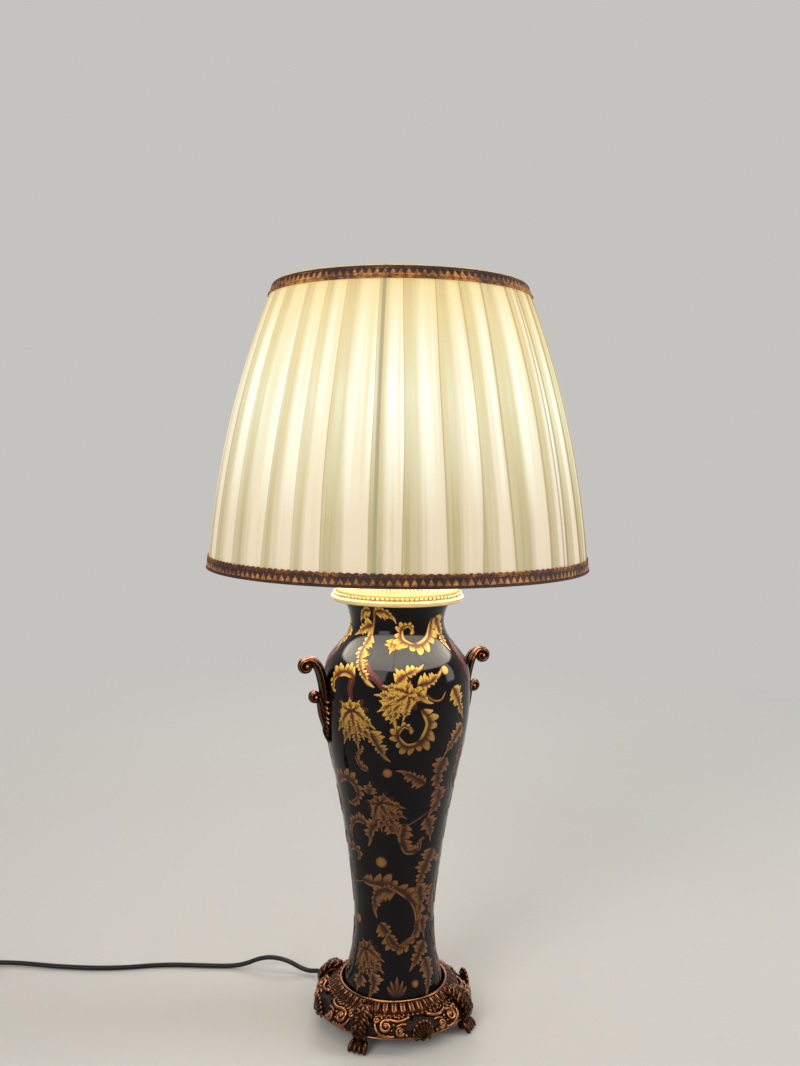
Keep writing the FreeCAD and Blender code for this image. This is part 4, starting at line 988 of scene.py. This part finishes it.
    def fan(self, spine, size):
        for k in range(5):
            heading = 90 + 118 * (k / 4 - 0.5)
            long = size * (1 - 0.25 * abs(k / 4 - 0.5) * 2)
            self.petal(spine[0], heading, long, long * 0.15, -0.5 * (heading - 90), 0.04 * (k % 2))
            self.petal(spine[0], heading, long * 0.55, long * 0.06, -0.4 * (heading - 90), 0.1)


# ornaments: kind, (angle, height) points on the vase, size, and side or heading
panel = [
    # neck and shoulder
    ("stem", [(-136, 434), (-140, 415), (-142, 397)], 1.5),
    ("plume", [(-142, 408), (-147, 392), (-142, 378), (-134, 366)], 12, 1),
    ("plume", [(-140, 416), (-150, 413), (-162, 406)], 9),
    ("plume", [(-137, 430), (-126, 431), (-116, 424)], 10, -1),
    ("plume", [(-141, 431), (-150, 430), (-158, 421)], 8, 1),
    ("frond", [(-65, 423), (-73, 404), (-90, 397), (-105, 402), (-106, 412), (-98, 416), (-93, 411)], 10, 1),
    ("plume", [(-113, 404), (-117, 393)], 9), ("plume", [(-61, 424), (-52, 410), (-51, 394)], 10),
    ("plume", [(175, 412), (172, 392)], 9), ("red", [(176, 390), (172, 374), (168, 354)], 5.2),
    ("red", [(-31, 397), (-41, 382), (-40, 356)], 6.0), ("dot", [(-70, 374)], 4.3),
    # upper body
    ("frond", [(-144, 368), (-155, 371), (-166, 363), (-166, 352)], 11, -1),
    ("red", [(-141, 384), (-133, 374), (-125, 366), (-119, 356)], 4.4), ("peony", [(-108, 350)], 21, -150),
    ("plume", [(-112, 352), (-104, 356), (-96, 354), (-88, 346)], 13, 1),
    ("plume", [(-112, 364), (-104, 372), (-93, 377)], 11, 1),
    ("plume", [(-96, 362), (-86, 364), (-78, 370)], 11, 1),
    ("stem", [(-90, 354), (-83, 347), (-76, 347), (-72, 354)], 1.4),
    ("plume", [(-112, 352), (-116, 340), (-113, 330)], 12, -1),
    ("frond", [(-92, 340), (-86, 324), (-92, 307), (-103, 303), (-110, 313), (-106, 323),
               (-100, 320)], 11, 1),
    ("peony", [(-145, 326)], 24, -80), ("plume", [(-132, 318), (-126, 304), (-121, 294)], 12, 1),
    ("red", [(-146, 368), (-148, 356), (-146, 344)], 4.0),
    ("plume", [(-48, 316), (-58, 306), (-66, 294)], 10), ("plume", [(-64, 357), (-58, 344), (-52, 328)], 10),
    ("frond", [(-179, 252), (-164, 263), (-150, 258), (-149, 245), (-160, 236)], 11, 1),
    # middle
    ("dot", [(-118, 275)], 4.6), ("frond", [(-134, 276), (-141, 279), (-144, 290), (-137, 300)], 6, -1),
    ("peony", [(-122, 236)], 20, -60), ("plume", [(-136, 250), (-134, 262)], 8),
    ("plume", [(-128, 222), (-136, 213), (-138, 203)], 11, -1), ("plume", [(-118, 222), (-110, 212)], 10),
    ("frond", [(-141, 219), (-154, 220), (-163, 212), (-166, 201)], 8, -1),
    ("plume", [(-84, 262), (-94, 270), (-105, 277)], 11, 1),
    ("plume", [(-66, 288), (-72, 272), (-70, 254)], 12), ("plume", [(-70, 256), (-66, 242), (-74, 230)], 11),
    ("stem", [(-67, 236), (-85, 226), (-104, 216)], 1.5),
    ("frond", [(-101, 222), (-104, 206), (-98, 191), (-84, 192), (-82, 203)], 10, 1),
    ("plume", [(-78, 226), (-72, 214), (-70, 204)], 9), ("dot", [(-127, 179)], 5.6),
    ("frond", [(178, 178), (-170, 187), (-158, 186), (-157, 177)], 9, 1),
    # big ring and foot
    ("frond", [(-155, 157), (-144, 155), (-117, 154), (-96, 144), (-80, 126), (-79, 106), (-96, 90),
               (-115, 91), (-122, 101)], 11, 1),
    ("plume", [(-108, 150), (-124, 150), (-137, 142), (-138, 126)], 13, 1),
    ("plume", [(-131, 114), (-122, 106), (-114, 96), (-102, 90), (-90, 96)], 12, -1),
    ("plume", [(-62, 190), (-72, 172), (-80, 152)], 12), ("plume", [(-80, 154), (-74, 138), (-76, 122)], 10),
    ("plume", [(-70, 118), (-66, 100)], 9), ("dot", [(-170, 111)], 4.4), ("peony", [(-150, 76)], 19.5, -70),
    ("plume", [(-140, 62), (-136, 52), (-138, 43)], 10, 1), ("plume", [(-156, 58), (-157, 44)], 9),
    ("fan", [(-107, 42)], 19), ("plume", [(-64, 92), (-74, 80), (-86, 69)], 10),
    ("stem", [(178, 172), (180, 156), (-168, 151), (-154, 155)], 1.4),
    ("plume", [(-66, 74), (-62, 58), (-68, 45)], 10), ("dot", [(-84, 52)], 3.6),
]
filler = [
    ("plume", [(-20, 300), (-16, 280), (-22, 258)], 12), ("peony", [(-18, 232)], 16, -90),
    ("frond", [(-24, 216), (-28, 196), (-14, 186), (-8, 198)], 10, 1), ("dot", [(-24, 172)], 4.8),
    ("plume", [(-14, 168), (-20, 150), (-12, 132)], 12),
    ("frond", [(-40, 146), (-34, 128), (-22, 122), (-18, 134)], 9, 1), ("peony", [(-28, 90)], 16, 90),
    ("plume", [(-34, 70), (-30, 58), (-36, 46)], 9), ("plume", [(-14, 84), (-8, 68), (-14, 50)], 9),
    ("dot", [(-38, 222)], 4.2), ("plume", [(-40, 292), (-44, 270), (-38, 252)], 10),
    ("dot", [(-50, 176)], 4.4), ("plume", [(-14, 424), (-16, 408), (-12, 394)], 9),
    ("plume", [(-50, 150), (-54, 132), (-48, 116)], 9),
]


def makePainting():
    # both panels, half a turn apart, with leaves between them
    shape = Shape()
    for turn in (0, 180):
        for kind, points, *sizes in panel + filler:
            middle = points[len(points) // 2]
            brush = Painter(shape, middle[0] + turn, middle[1])
            getattr(brush, kind)([brush.local(a + turn, z) for a, z in points], *sizes)
    shape.make("paintedScrolls", gilding, "lamp", angle=80, outward=False)
    print("vase painted:", len(shape.faces), "faces")


makePainting()


def onProfile(outline):
    # place function of a turned surface: degrees round, distance along the outline and how far it stands off
    along = distances(outline)

    def place(degrees, y, lift=0.0):
        k = 0
        while k < len(along) - 2 and y > along[k + 1]:
            k += 1
        (r0, z0), (r1, z1) = outline[k], outline[k + 1]
        size = along[k + 1] - along[k]
        t = (y - along[k]) / size
        outR, outZ = -(z1 - z0) / size, (r1 - r0) / size
        return polar(mix(r0, r1, t) + outR * lift, degrees, mix(z0, z1, t) + outZ * lift)
    return place, along[-1]


# points are degrees from a pendant's middle and the distance down the skirt
skirt = {"outline": [(63.5, 30.2), (69.0, 29.2), (74.0, 27.4), (77.6, 24.8), (79.4, 22.0), (80.1, 19.0),
                     (79.6, 16.5), (78.8, 14.6)],
         "pendants": (0, 90, 180, 270),
         "volutes": [(26.5, 14.0, 6.2, 1.6, 120, 1.35, 1.8, 1.0), (16.2, 18.0, 4.2, 1.2, 200, -1.3, 1.5, 0.8),
                     (34.0, 8.5, 3.2, 1.0, 20, 1.2, 1.3, 0.7)],
         "rods": [([(7.5, 4.0), (12.0, 7.5), (17.5, 9.0), (22.0, 7.5), (25.5, 6.5)], 1.7, 1.5, 40),
                  ([(11.0, 12.5), (14.5, 12.0), (18.5, 14.0)], 1.3, 1.0, 24),
                  ([(20.0, 22.5), (24.0, 23.2), (29.0, 22.0), (33.0, 18.0), (35.0, 13.0)], 1.5, 1.3, 40),
                  ([(30.0, 4.0), (33.0, 3.2), (36.5, 5.0)], 1.2, 0.8, 24)],
         "beads": [(20.8, 12.6, 1.5), (30.6, 5.6, 1.4), (11.6, 22.0, 1.5), (22.2, 17.6, 1.1)]}
for k in range(5):
    a, y = 12.5 + 3.4 * k, 4.4 + 0.9 * math.sin(1.9 * k)
    skirt["rods"].append(([(a, y), (a + 1.6, y - 1.8), (a + 3.4, y - 2.2)], 1.1, 0.5, 9))
for k in range(4):
    a = 21.5 + 3.0 * k
    skirt["rods"].append(([(a, 21.6 - 0.5 * k), (a + 1.0, 23.2), (a + 2.4, 24.2)], 1.2, 0.6, 9))


def makeSkirtRelief():
    # the same scrolls on both sides of each pendant, and a round edge above and below
    shape = Shape()
    place, length = onProfile(skirt["outline"])
    perMillimetre = math.degrees(1 / 76.0)
    for middle, side in [(middle, side) for middle in skirt["pendants"] for side in (-1, 1)]:
        for a, y, outer, inner, heading, turns, thick, thin in skirt["volutes"]:
            start = side * heading + (180 if side < 0 else 0)
            path = [place(middle + side * a + p[0] * perMillimetre, y - p[1], 0.7 * thick)
                    for p in spiral(outer, inner, start, -side * turns, 34)]
            shape.tube(path, taper(thick, thin, 34))
            shape.ball(place(middle + side * a, y, 0.9), inner + thin * 0.7, rings=6, sides=8)
        for points, thick, thin, count in skirt["rods"]:
            path = smoothPath([(middle + side * a, y) for a, y in points], count)
            shape.tube([place(p[0], p[1], 0.5 * thick) for p in path],
                       [w * min(1.0, 0.45 + i / 4) for i, w in enumerate(taper(thick, thin, count))])
        for a, y, radius in skirt["beads"]:
            shape.ball(place(middle + side * a, y, 0.5), radius, rings=6, sides=10)
    for y, lift, radius in ((length - 0.4, 0.2, 1.0), (1.0, 0.3, 0.8)):
        shape.tube([place(360 * i / 240, y, lift) for i in range(241)], radius, capped=False)
    shape.make("skirtScrolls", antiqueBronze, "lamp", angle=60)


baseRing = [(5.1, 30.0), (64.0, 30.0), (66.0, 32.2), (66.0, 33.0), (56.6, 38.4), (56.5, 39.4), (56.2, 40.3),
            (55.5, 40.8), (54.8, 40.9), (54.1, 40.7), (53.5, 40.2), (53.15, 39.4), (53.1, 38.2), (53.1, 34.0),
            (5.1, 34.0), (5.1, 30.0)]


def makeBaseRing():
    shape = Shape()
    shape.turned(baseRing, 192)
    shape.make("baseRing", antiqueBronze, "lamp", "base_ring", angle=50)


tongues = {"outline": [(56.6, 38.7), (60.0, 37.2), (63.4, 35.0), (66.2, 32.9)], "count": 44, "steps": 16,
           "rows": 14, "beads": 88, "beadRadius": 66.6, "beadHeight": 31.4}


def makeTongueBand():
    # row of rounded tongues with a thin dart between each two, over a string of beads
    place, length = onProfile(tongues["outline"])
    steps = tongues["steps"]
    rows = []
    for i in range(tongues["count"] * steps):
        share = (i % steps) / steps - 0.5
        row = []
        for j in range(tongues["rows"] + 1):
            t = j / tongues["rows"]
            wide = 0.38 * math.sqrt(max(0.0, 1 - max(0.0, (t - 0.55) / 0.4) ** 2)) if t < 0.95 else 0.0
            lift = 0.15
            if t > 0.96 or t < 0.04:
                lift = 0.7
            elif abs(share) < wide:
                x = share / wide
                lift += 1.25 * math.sqrt(1 - x ** 2) - 0.45 * max(0.0, 1 - (x / 0.45) ** 2)
            elif abs(abs(share) - 0.5) < 0.045 and 0.1 < t < 0.92:
                lift += 0.8
            row.append(place(360 / tongues["count"] * i / steps, length * t, lift))
        rows.append(row)
    shape = Shape()
    shape.grid(rows, close=True)
    for k in range(tongues["beads"]):
        spot = polar(tongues["beadRadius"], 360 * k / tongues["beads"], tongues["beadHeight"])
        shape.ball(spot, 1.25, rings=6, sides=8)
    shape.make("tongueBand", antiqueBronze, "lamp", angle=60)


pawFoot = {"knee": [(61.0, 36.4), (65.5, 38.4), (71.0, 37.6), (76.5, 33.8), (81.0, 28.5), (84.0, 22.0),
                    (84.0, 16.5)],
           "fill": [(65.0, 33.5), (71.0, 32.0), (77.0, 27.0), (80.5, 21.0)],
           "leg": [(79.0, 22.0), (79.5, 16.0), (80.0, 11.0), (80.5, 7.0)],
           "lobes": (5.2, 7.6, 9.2, 8.6, 6.2), "toes": 4, "toePitch": 4.9, "voxel": 0.55,
           "turns": {"front_right": -45, "back_right": 45, "back_left": 135, "front_left": 225}}


def makePawFoot():
    # acanthus knee over the skirt's edge, a short leg and a paw with four toes; drawn along +X
    shape = Shape()
    knee = smoothPath(inPlane(pawFoot["knee"]), 31)
    thick = [mix(1.4, 3.0, math.sin(math.pi * min(1.0, i / 20) / 2)) for i in range(31)]
    shape.tube(knee, thick, sides=14, flat=2.5, hint=sideways)
    shape.tube(knee, [3.6 * teardrop((i + 1) / 33, 0.7) + 0.4 for i in range(31)], hint=sideways)
    for k, wide in enumerate(pawFoot["lobes"]):
        root = knee[3 + 5 * k]
        ahead = (knee[5 + 5 * k] - knee[1 + 5 * k]).normalized()
        outward = ahead.cross(sideways)
        outward = outward if outward.z + outward.x > 0 else -outward
        for side in (-1, 1):
            for swing, part in ((0.0, 1.0), (0.55, 0.86)):
                turn = sideways * side * math.cos(swing) + ahead * math.sin(swing)
                path = smoothPath([root + outward * 1.0, root + turn * wide * 0.5 * part + outward * 2.4,
                                   root + turn * wide * part + outward * 0.6 + ahead * 1.6,
                                   root + turn * (wide + 1.6) * part - outward * 1.6 + ahead * 3.0], 10)
                shape.tube(path, [1.9 * teardrop((i + 1.5) / 12, 0.6) + 0.35 for i in range(10)])
    for k in range(3):
        shape.ball((84.6 - 0.6 * k, 0, 20.5 - 3.2 * k), 2.6 - 0.4 * k)
    shape.tube(inPlane(pawFoot["fill"]), [3.0, 4.6, 5.0, 4.6], sides=14, flat=1.3, hint=sideways)
    shape.tube(inPlane(pawFoot["leg"]), [6.0, 4.8, 4.4, 5.4], sides=14, hint=sideways)
    for side in (-1, 1):
        curl = inPlane(spiral(4.0, 1.0, 250, 1.2, 22), 79.5, side * 5.6, 15.5)
        shape.tube(curl, taper(1.5, 0.9, 22), hint=sideways)
    shape.ball((78.0, 0, 4.6), 4.4, scale=(1.3, 1.7, 1.0), rings=10, sides=16)
    for k in range(pawFoot["toes"]):
        y = pawFoot["toePitch"] * (k - (pawFoot["toes"] - 1) / 2)
        toe = [(76.0, y * 0.6, 7.0), (81.0, y * 0.85, 8.3), (84.6, y, 6.4), (86.9, y * 1.08, 3.2)]
        shape.tube(smoothPath(toe, 12), swell(2.4, 2.75, 12, 11), sides=10)
        shape.ball((84.2, y, 6.0), 2.9)
        shape.ball((86.6, y * 1.08, 3.0), 2.5)
        claw = smoothPath([(87.0, y * 1.1, 3.6), (88.3, y * 1.12, 2.6), (88.9, y * 1.12, 0.9)], 6)
        shape.tube(claw, [1.3, 1.2, 1.0, 0.8, 0.6, 0.4])
    castRound(shape, "pawFoot.", "paw_foot_", pawFoot["turns"], pawFoot["voxel"], 2)


shellPendant = {"flutes": 9, "voxel": 0.5, "turns": {"right": 0, "back": 90, "left": 180, "front": 270}}


def makeShellPendant():
    # scallop shell with flutes from its low hinge, between two small scrolls; drawn along +X
    shape = Shape()
    hinge = Vector((81.0, 0, 14.6))
    shape.ball((80.3, 0, 20.5), 1.0, scale=(2.4, 8.2, 8.6), rings=10, sides=18)
    for k in range(shellPendant["flutes"]):
        a = math.radians(180 * (k + 0.5) / shellPendant["flutes"])
        reach = 10.6 + 0.9 * math.sin(a)
        tip = Vector((81.4, 0.92 * reach * math.cos(a), 17.0 + 1.25 * reach * math.sin(a)))
        path = smoothPath([hinge, hinge.lerp(tip, 0.5) + Vector((3.0, 0, 0)), tip], 12)
        shape.tube(path, taper(0.7, 1.75, 12))
        shape.ball(tip, 1.9, rings=6, sides=8)
    shape.ball((82.0, 0, 14.0), 2.2, scale=(1.2, 1.3, 1.0))
    for side in (-1, 1):
        curl = [Vector((81.2, side * (6.4 + p[0]), 14.6 + p[1])) for p in spiral(3.4, 0.9, 200, -1.2, 20)]
        shape.tube(curl, taper(1.3, 0.8, 20))
    castRound(shape, "shellPendant.", "shell_pendant_", shellPendant["turns"], shellPendant["voxel"], 1)


makeBaseRing()
makeSkirtRelief()
makeTongueBand()
makePawFoot()
makeShellPendant()
print("base dressed")


scrollHandle = {"arm": [(73.6, 318.0), (76.8, 338.0), (79.2, 356.0), (83.8, 371.0), (91.0, 379.0),
                        (98.5, 378.0)],
                "small": [(75.0, 306.0), (79.0, 322.0), (81.5, 336.0), (86.0, 345.5)],
                "armEnd": (96.3, 372.6), "smallEnd": (86.6, 341.0), "padHeight": 322.0,
                "lobes": (8.0, 10.5, 11.5, 10.0, 7.0), "voxel": 0.55, "turns": {"right": 0, "left": 180}}


def makeHandle():
    # fluted scroll arm with a rolled end, a smaller scroll below it and a leaf pad on the vase; along +X
    shape = Shape()
    armX, armZ = scrollHandle["armEnd"]
    smallX, smallZ = scrollHandle["smallEnd"]
    arm = smoothPath(inPlane(scrollHandle["arm"]), 34)[:-2]
    arm += inPlane(spiral(6.0, 1.6, 62, -1.35, 34), armX, 0, armZ)
    widths = swell(3.0, 4.9, 32, 30) + taper(3.2, 1.8, 35)[:-1]
    shape.tube(arm, widths, 28, 1.55, sideways, flutes=8, depth=0.09)
    small = smoothPath(inPlane(scrollHandle["small"]), 22)[:-1]
    small += inPlane(spiral(5.0, 1.4, 70, -1.3, 26), smallX, 0, smallZ)
    widths = swell(2.4, 4.0, 21, 20) + taper(2.9, 1.5, 27)[:-1]
    shape.tube(small, widths, 28, 1.5, sideways, flutes=8, depth=0.09)
    for side in (-1, 1):
        shape.ball((armX, side * 4.9, armZ), 2.4)
        shape.ball((smallX, side * 4.2, smallZ), 2.1)
    pad = Painter(shape, 0, scrollHandle["padHeight"])

    def lobe(y, heading, length, width, height, curl=0.0):
        path = walk((0, y), heading, length, curl, 12)
        spots = [pad.place(p[0], p[1], mix(height, 1.2, i / 12)) for i, p in enumerate(path)]
        shape.tube(spots, [width * teardrop((i + 1) / 14, 0.6) + 0.3 for i in range(13)])

    for k, reach in enumerate(scrollHandle["lobes"]):
        for side in (-1, 1):
            y = 18 - 8.5 * k
            lobe(y + 4, 90 - side * mix(58, 118, k / 4), reach, 2.2, 3.2, side * -22)
            lobe(y, 90 - side * mix(78, 140, k / 4), reach * 0.85, 1.9, 2.8, side * -18)
    lobe(-12, -90, 17, 2.6, 3.6)
    lobe(26, -90, 46, 2.4, 3.8)
    shape.ball(pad.place(0, 6, 4.2), 4.6, scale=(1.0, 1.15, 1.25), rings=10, sides=14)
    for k in range(3):
        shape.ball(pad.place(0, -4 - 5 * k, 3.6), 2.8 - 0.5 * k)
    castRound(shape, "scrollHandle.", "handle_", scrollHandle["turns"], scrollHandle["voxel"], 1)


makeHandle()


finial = {"low": 738.7, "segments": 144, "reeds": 24, "reedDepth": 0.16,
          "outline": [(4.6, 0.0), (7.3, 0.0), (7.5, 0.7), (7.4, 1.7), (6.6, 2.4), (5.9, 3.2), (5.7, 4.2),
                      (6.1, 5.1), (7.1, 6.6), (7.8, 8.6), (8.0, 10.8), (7.7, 13.2), (6.8, 15.4),
                      (5.4, 17.3), (3.9, 18.6), (3.2, 19.3), (3.3, 20.0), (3.3, 20.8), (2.6, 21.6),
                      (1.2, 22.0), (0.05, 22.05), (0.05, 17.0), (4.6, 16.5), (4.6, 0.0)]}


def makeFinial():
    # turned knob with a reeded belly and a blind hole from below
    shape = Shape()

    def reeded(r, z, degrees):
        belly = fade(z - finial["low"], 5.5, 8.0) * (1 - fade(z - finial["low"], 12.5, 15.5))
        return r + finial["reedDepth"] * math.cos(math.radians(finial["reeds"] * degrees)) * belly

    shape.turned([(r, finial["low"] + z) for r, z in finial["outline"]], finial["segments"], reeded)
    shape.make("turnedFinial", polishedBrass, "finial", "finial_knob", angle=50)


switch = {"height": 532.0, "start": 11.9, "shaft": 14.0, "segments": 120, "flutes": 20,
          "outline": [(1.6, 0.0), (4.6, 0.0), (5.3, 0.6), (5.5, 1.4), (5.4, 4.0), (4.2, 6.0), (2.6, 7.4),
                      (2.2, 9.6), (2.0, 11.2), (1.2, 12.0), (0.05, 12.0)]}


def makeSwitchKnob():
    # shaft and a fluted knob with a flat key to turn it by, along -Y
    shape = Shape()
    near = switch["start"] + switch["shaft"] - 2
    rows = []
    for j in range(switch["segments"]):
        a = 2 * math.pi * j / switch["segments"]
        row = []
        for r, y in switch["outline"]:
            depth = 0.05 * (1 + math.cos(switch["flutes"] * a))
            r *= 1 - depth * fade(y, 0.2, 0.9) * (1 - fade(y, 3.0, 5.0))
            row.append(Vector((r * math.cos(a), -near - y, switch["height"] + r * math.sin(a))))
        rows.append(row)
    shape.grid(rows, close=True)
    for hand in (-1, 1):
        wing = [Vector((0, 0.4 * (1 - i / 6) - near - 8.2, switch["height"] + hand * (1.0 + 6.4 * i / 6)))
                for i in range(7)]
        shape.tube(wing, [1.7, 1.9, 2.1, 2.3, 2.2, 1.8, 1.0], sides=12, flat=0.55, hint=Vector((1, 0, 0)))
    shape.tube([Vector((0, -y, switch["height"])) for y in (switch["start"], near + 1.0)], 1.6, sides=16)
    shape.make("switchKnob", blackPlastic, "switch", "switch_knob", angle=45)


makeFinial()
makeSwitchKnob()


capRelief = {"outline": [(44.5, 455.0), (52.0, 453.4), (58.4, 451.4), (61.4, 449.2), (62.9, 446.4)],
             "gadroons": 96, "steps": 10, "rows": 12, "beads": 84, "beadRadius": 63.8, "beadHeight": 443.6}


def makeCapRelief():
    # slanted gadroons over a string of beads
    shape = Shape()
    place, length = onProfile(capRelief["outline"])
    steps = capRelief["steps"]
    rows = []
    for i in range(capRelief["gadroons"] * steps):
        share = (i % steps) / steps - 0.5
        row = []
        for j in range(capRelief["rows"] + 1):
            t = j / capRelief["rows"]
            bulge = math.sqrt(max(0.0, 1 - (2 * share) ** 2)) * min(1.0, 6 * t, 6 * (1 - t))
            degrees = 360 * i / (capRelief["gadroons"] * steps) + 3.0 * t
            row.append(place(degrees, length * t, 0.2 + 0.9 * bulge))
        rows.append(row)
    shape.grid(rows, close=True)
    for k in range(capRelief["beads"]):
        spot = polar(capRelief["beadRadius"], 360 * k / capRelief["beads"], capRelief["beadHeight"])
        shape.ball(spot, 1.75, sides=10)
    shape.make("capRelief", castGilt, "lamp", angle=60)


makeCapRelief()
print("handles and cap dressed")


# finishes of the nodes whose shape stays
finishes = [
    (recessPatinaShadeBronze, ["base_skirt"]), (castGilt, ["vase_cap"]), (opalGlass, ["bulb_glass"]),
    (steatite, ["socket_insulator"]), (blackPlastic, ["cord_gland"]),
    (gasketRubber, ["lower_gasket", "upper_gasket"]),
    (steel, ["base_washer", "base_nut", "lamp_pipe", "foot_screws", "handle_screws", "bulb_contact"]),
    (polishedBrass, ["lock_nut", "neck_spacer", "harp_saddle", "harp", "harp_ferrule_left",
                     "harp_ferrule_right", "harp_stud", "socket_cap", "socket_shell", "socket_screw_liner",
                     "socket_contact", "bulb_cap", "finial_bush", "plug_blades"]),
    (frameWire, ["shade_top_ring", "shade_bottom_ring", "shade_spider"]
     + ["shade_rib_" + str(k + 1) for k in range(shade["ribs"])]),
]
for material, names in finishes:
    for name in names:
        nodes[name].data.materials.clear()
        nodes[name].data.materials.append(material)


stage = {"floor": (0.60, 0.585, 0.56), "backdrop": (0.56, 0.545, 0.525), "fill": 0.5}


def makeFloor():
    # pale floor that fades into the backdrop away from the lamp
    material, coat = newMaterial("paleFloor")
    tree = material.node_tree
    spots = coat.group(mottle, Scale=3.0)
    coat.surface(Base_Color=coat.blend(spots["Tone"], [c * 0.97 for c in stage["floor"]], stage["floor"]),
                 Roughness=0.7, Specular_IOR_Level=0.2)
    away = coat.put("VectorMath", {"operation": "LENGTH"}, i0=coat.where()).outputs["Value"]
    far = coat.times(coat.span(away, 0.6, 2.2), coat.seen())
    backdrop = coat.put("Emission", Color=stage["backdrop"], Strength=1.0)
    both = coat.put("MixShader", i0=far, i1=tree.nodes["Principled BSDF"].outputs[0], i2=backdrop.outputs[0])
    coat.feed(tree.nodes["Material Output"].inputs["Surface"], both.outputs[0])
    data = bpy.data.meshes.new("floor")
    data.from_pydata([(x, y, -0.0003) for y in (-9, 9) for x in (-9, 9)], [], [(2, 3, 1, 0)])
    data.materials.append(material)
    link("floor", data)


def makeWorld():
    # backdrop for the eye, softer fill light for the rest
    world = bpy.data.worlds.new("studio")
    bpy.context.scene.world = world
    world.use_nodes = True
    world.node_tree.nodes.clear()
    coat = Coat(world.node_tree)
    light = coat.put("Background", Color=(1.0, 0.98, 0.95), Strength=stage["fill"])
    view = coat.put("Background", Color=stage["backdrop"], Strength=1.0)
    both = coat.put("MixShader", i0=coat.seen(), i1=light.outputs[0], i2=view.outputs[0])
    coat.put("OutputWorld", Surface=both.outputs[0])


def makeLamp(name, place, aim, size, power, colour):
    data = bpy.data.lights.new(name, "AREA")
    data.shape = "RECTANGLE"
    data.size, data.size_y = size
    data.energy = power
    data.color = colour
    lamp = link(name, data)
    lamp.location = place
    lamp.rotation_euler = (Vector(aim) - Vector(place)).to_track_quat("-Z", "Y").to_euler()


def makeCamera():
    # same place and lens as the photograph: the lamp seen from its left, a little from above
    heading, pitch = math.radians(21.3) + math.radians(0.11), 0.072
    data = bpy.data.cameras.new("camera")
    data.sensor_width = 36.0
    data.lens = 35.57
    data.clip_start = 0.01
    camera = link("camera", data)
    camera.location = (-0.3875, -0.9939, 0.5805)
    level = math.cos(pitch)
    ahead = Vector((math.sin(heading) * level, math.cos(heading) * level, -math.sin(pitch)))
    tilt = Quaternion((0, 0, 1), math.radians(0.6))
    camera.rotation_euler = (ahead.to_track_quat("-Z", "Y") @ tilt).to_euler()
    bpy.context.scene.camera = camera


makeFloor()
makeWorld()
makeLamp("keyLamp", (-1.9, -1.5, 1.6), (0, 0, 0.35), (1.2, 1.6), 34, (1.0, 0.97, 0.93))
makeLamp("sideLamp", (2.0, -0.7, 1.2), (0, 0, 0.3), (0.7, 1.8), 22, (0.95, 0.97, 1.0))
makeLamp("backLamp", (0.6, 2.2, 1.7), (0, 0, 0.4), (1.4, 1.0), 20, (1.0, 0.97, 0.93))
makeCamera()
bpy.context.scene.view_settings.view_transform = "Standard"
print("scene ready")
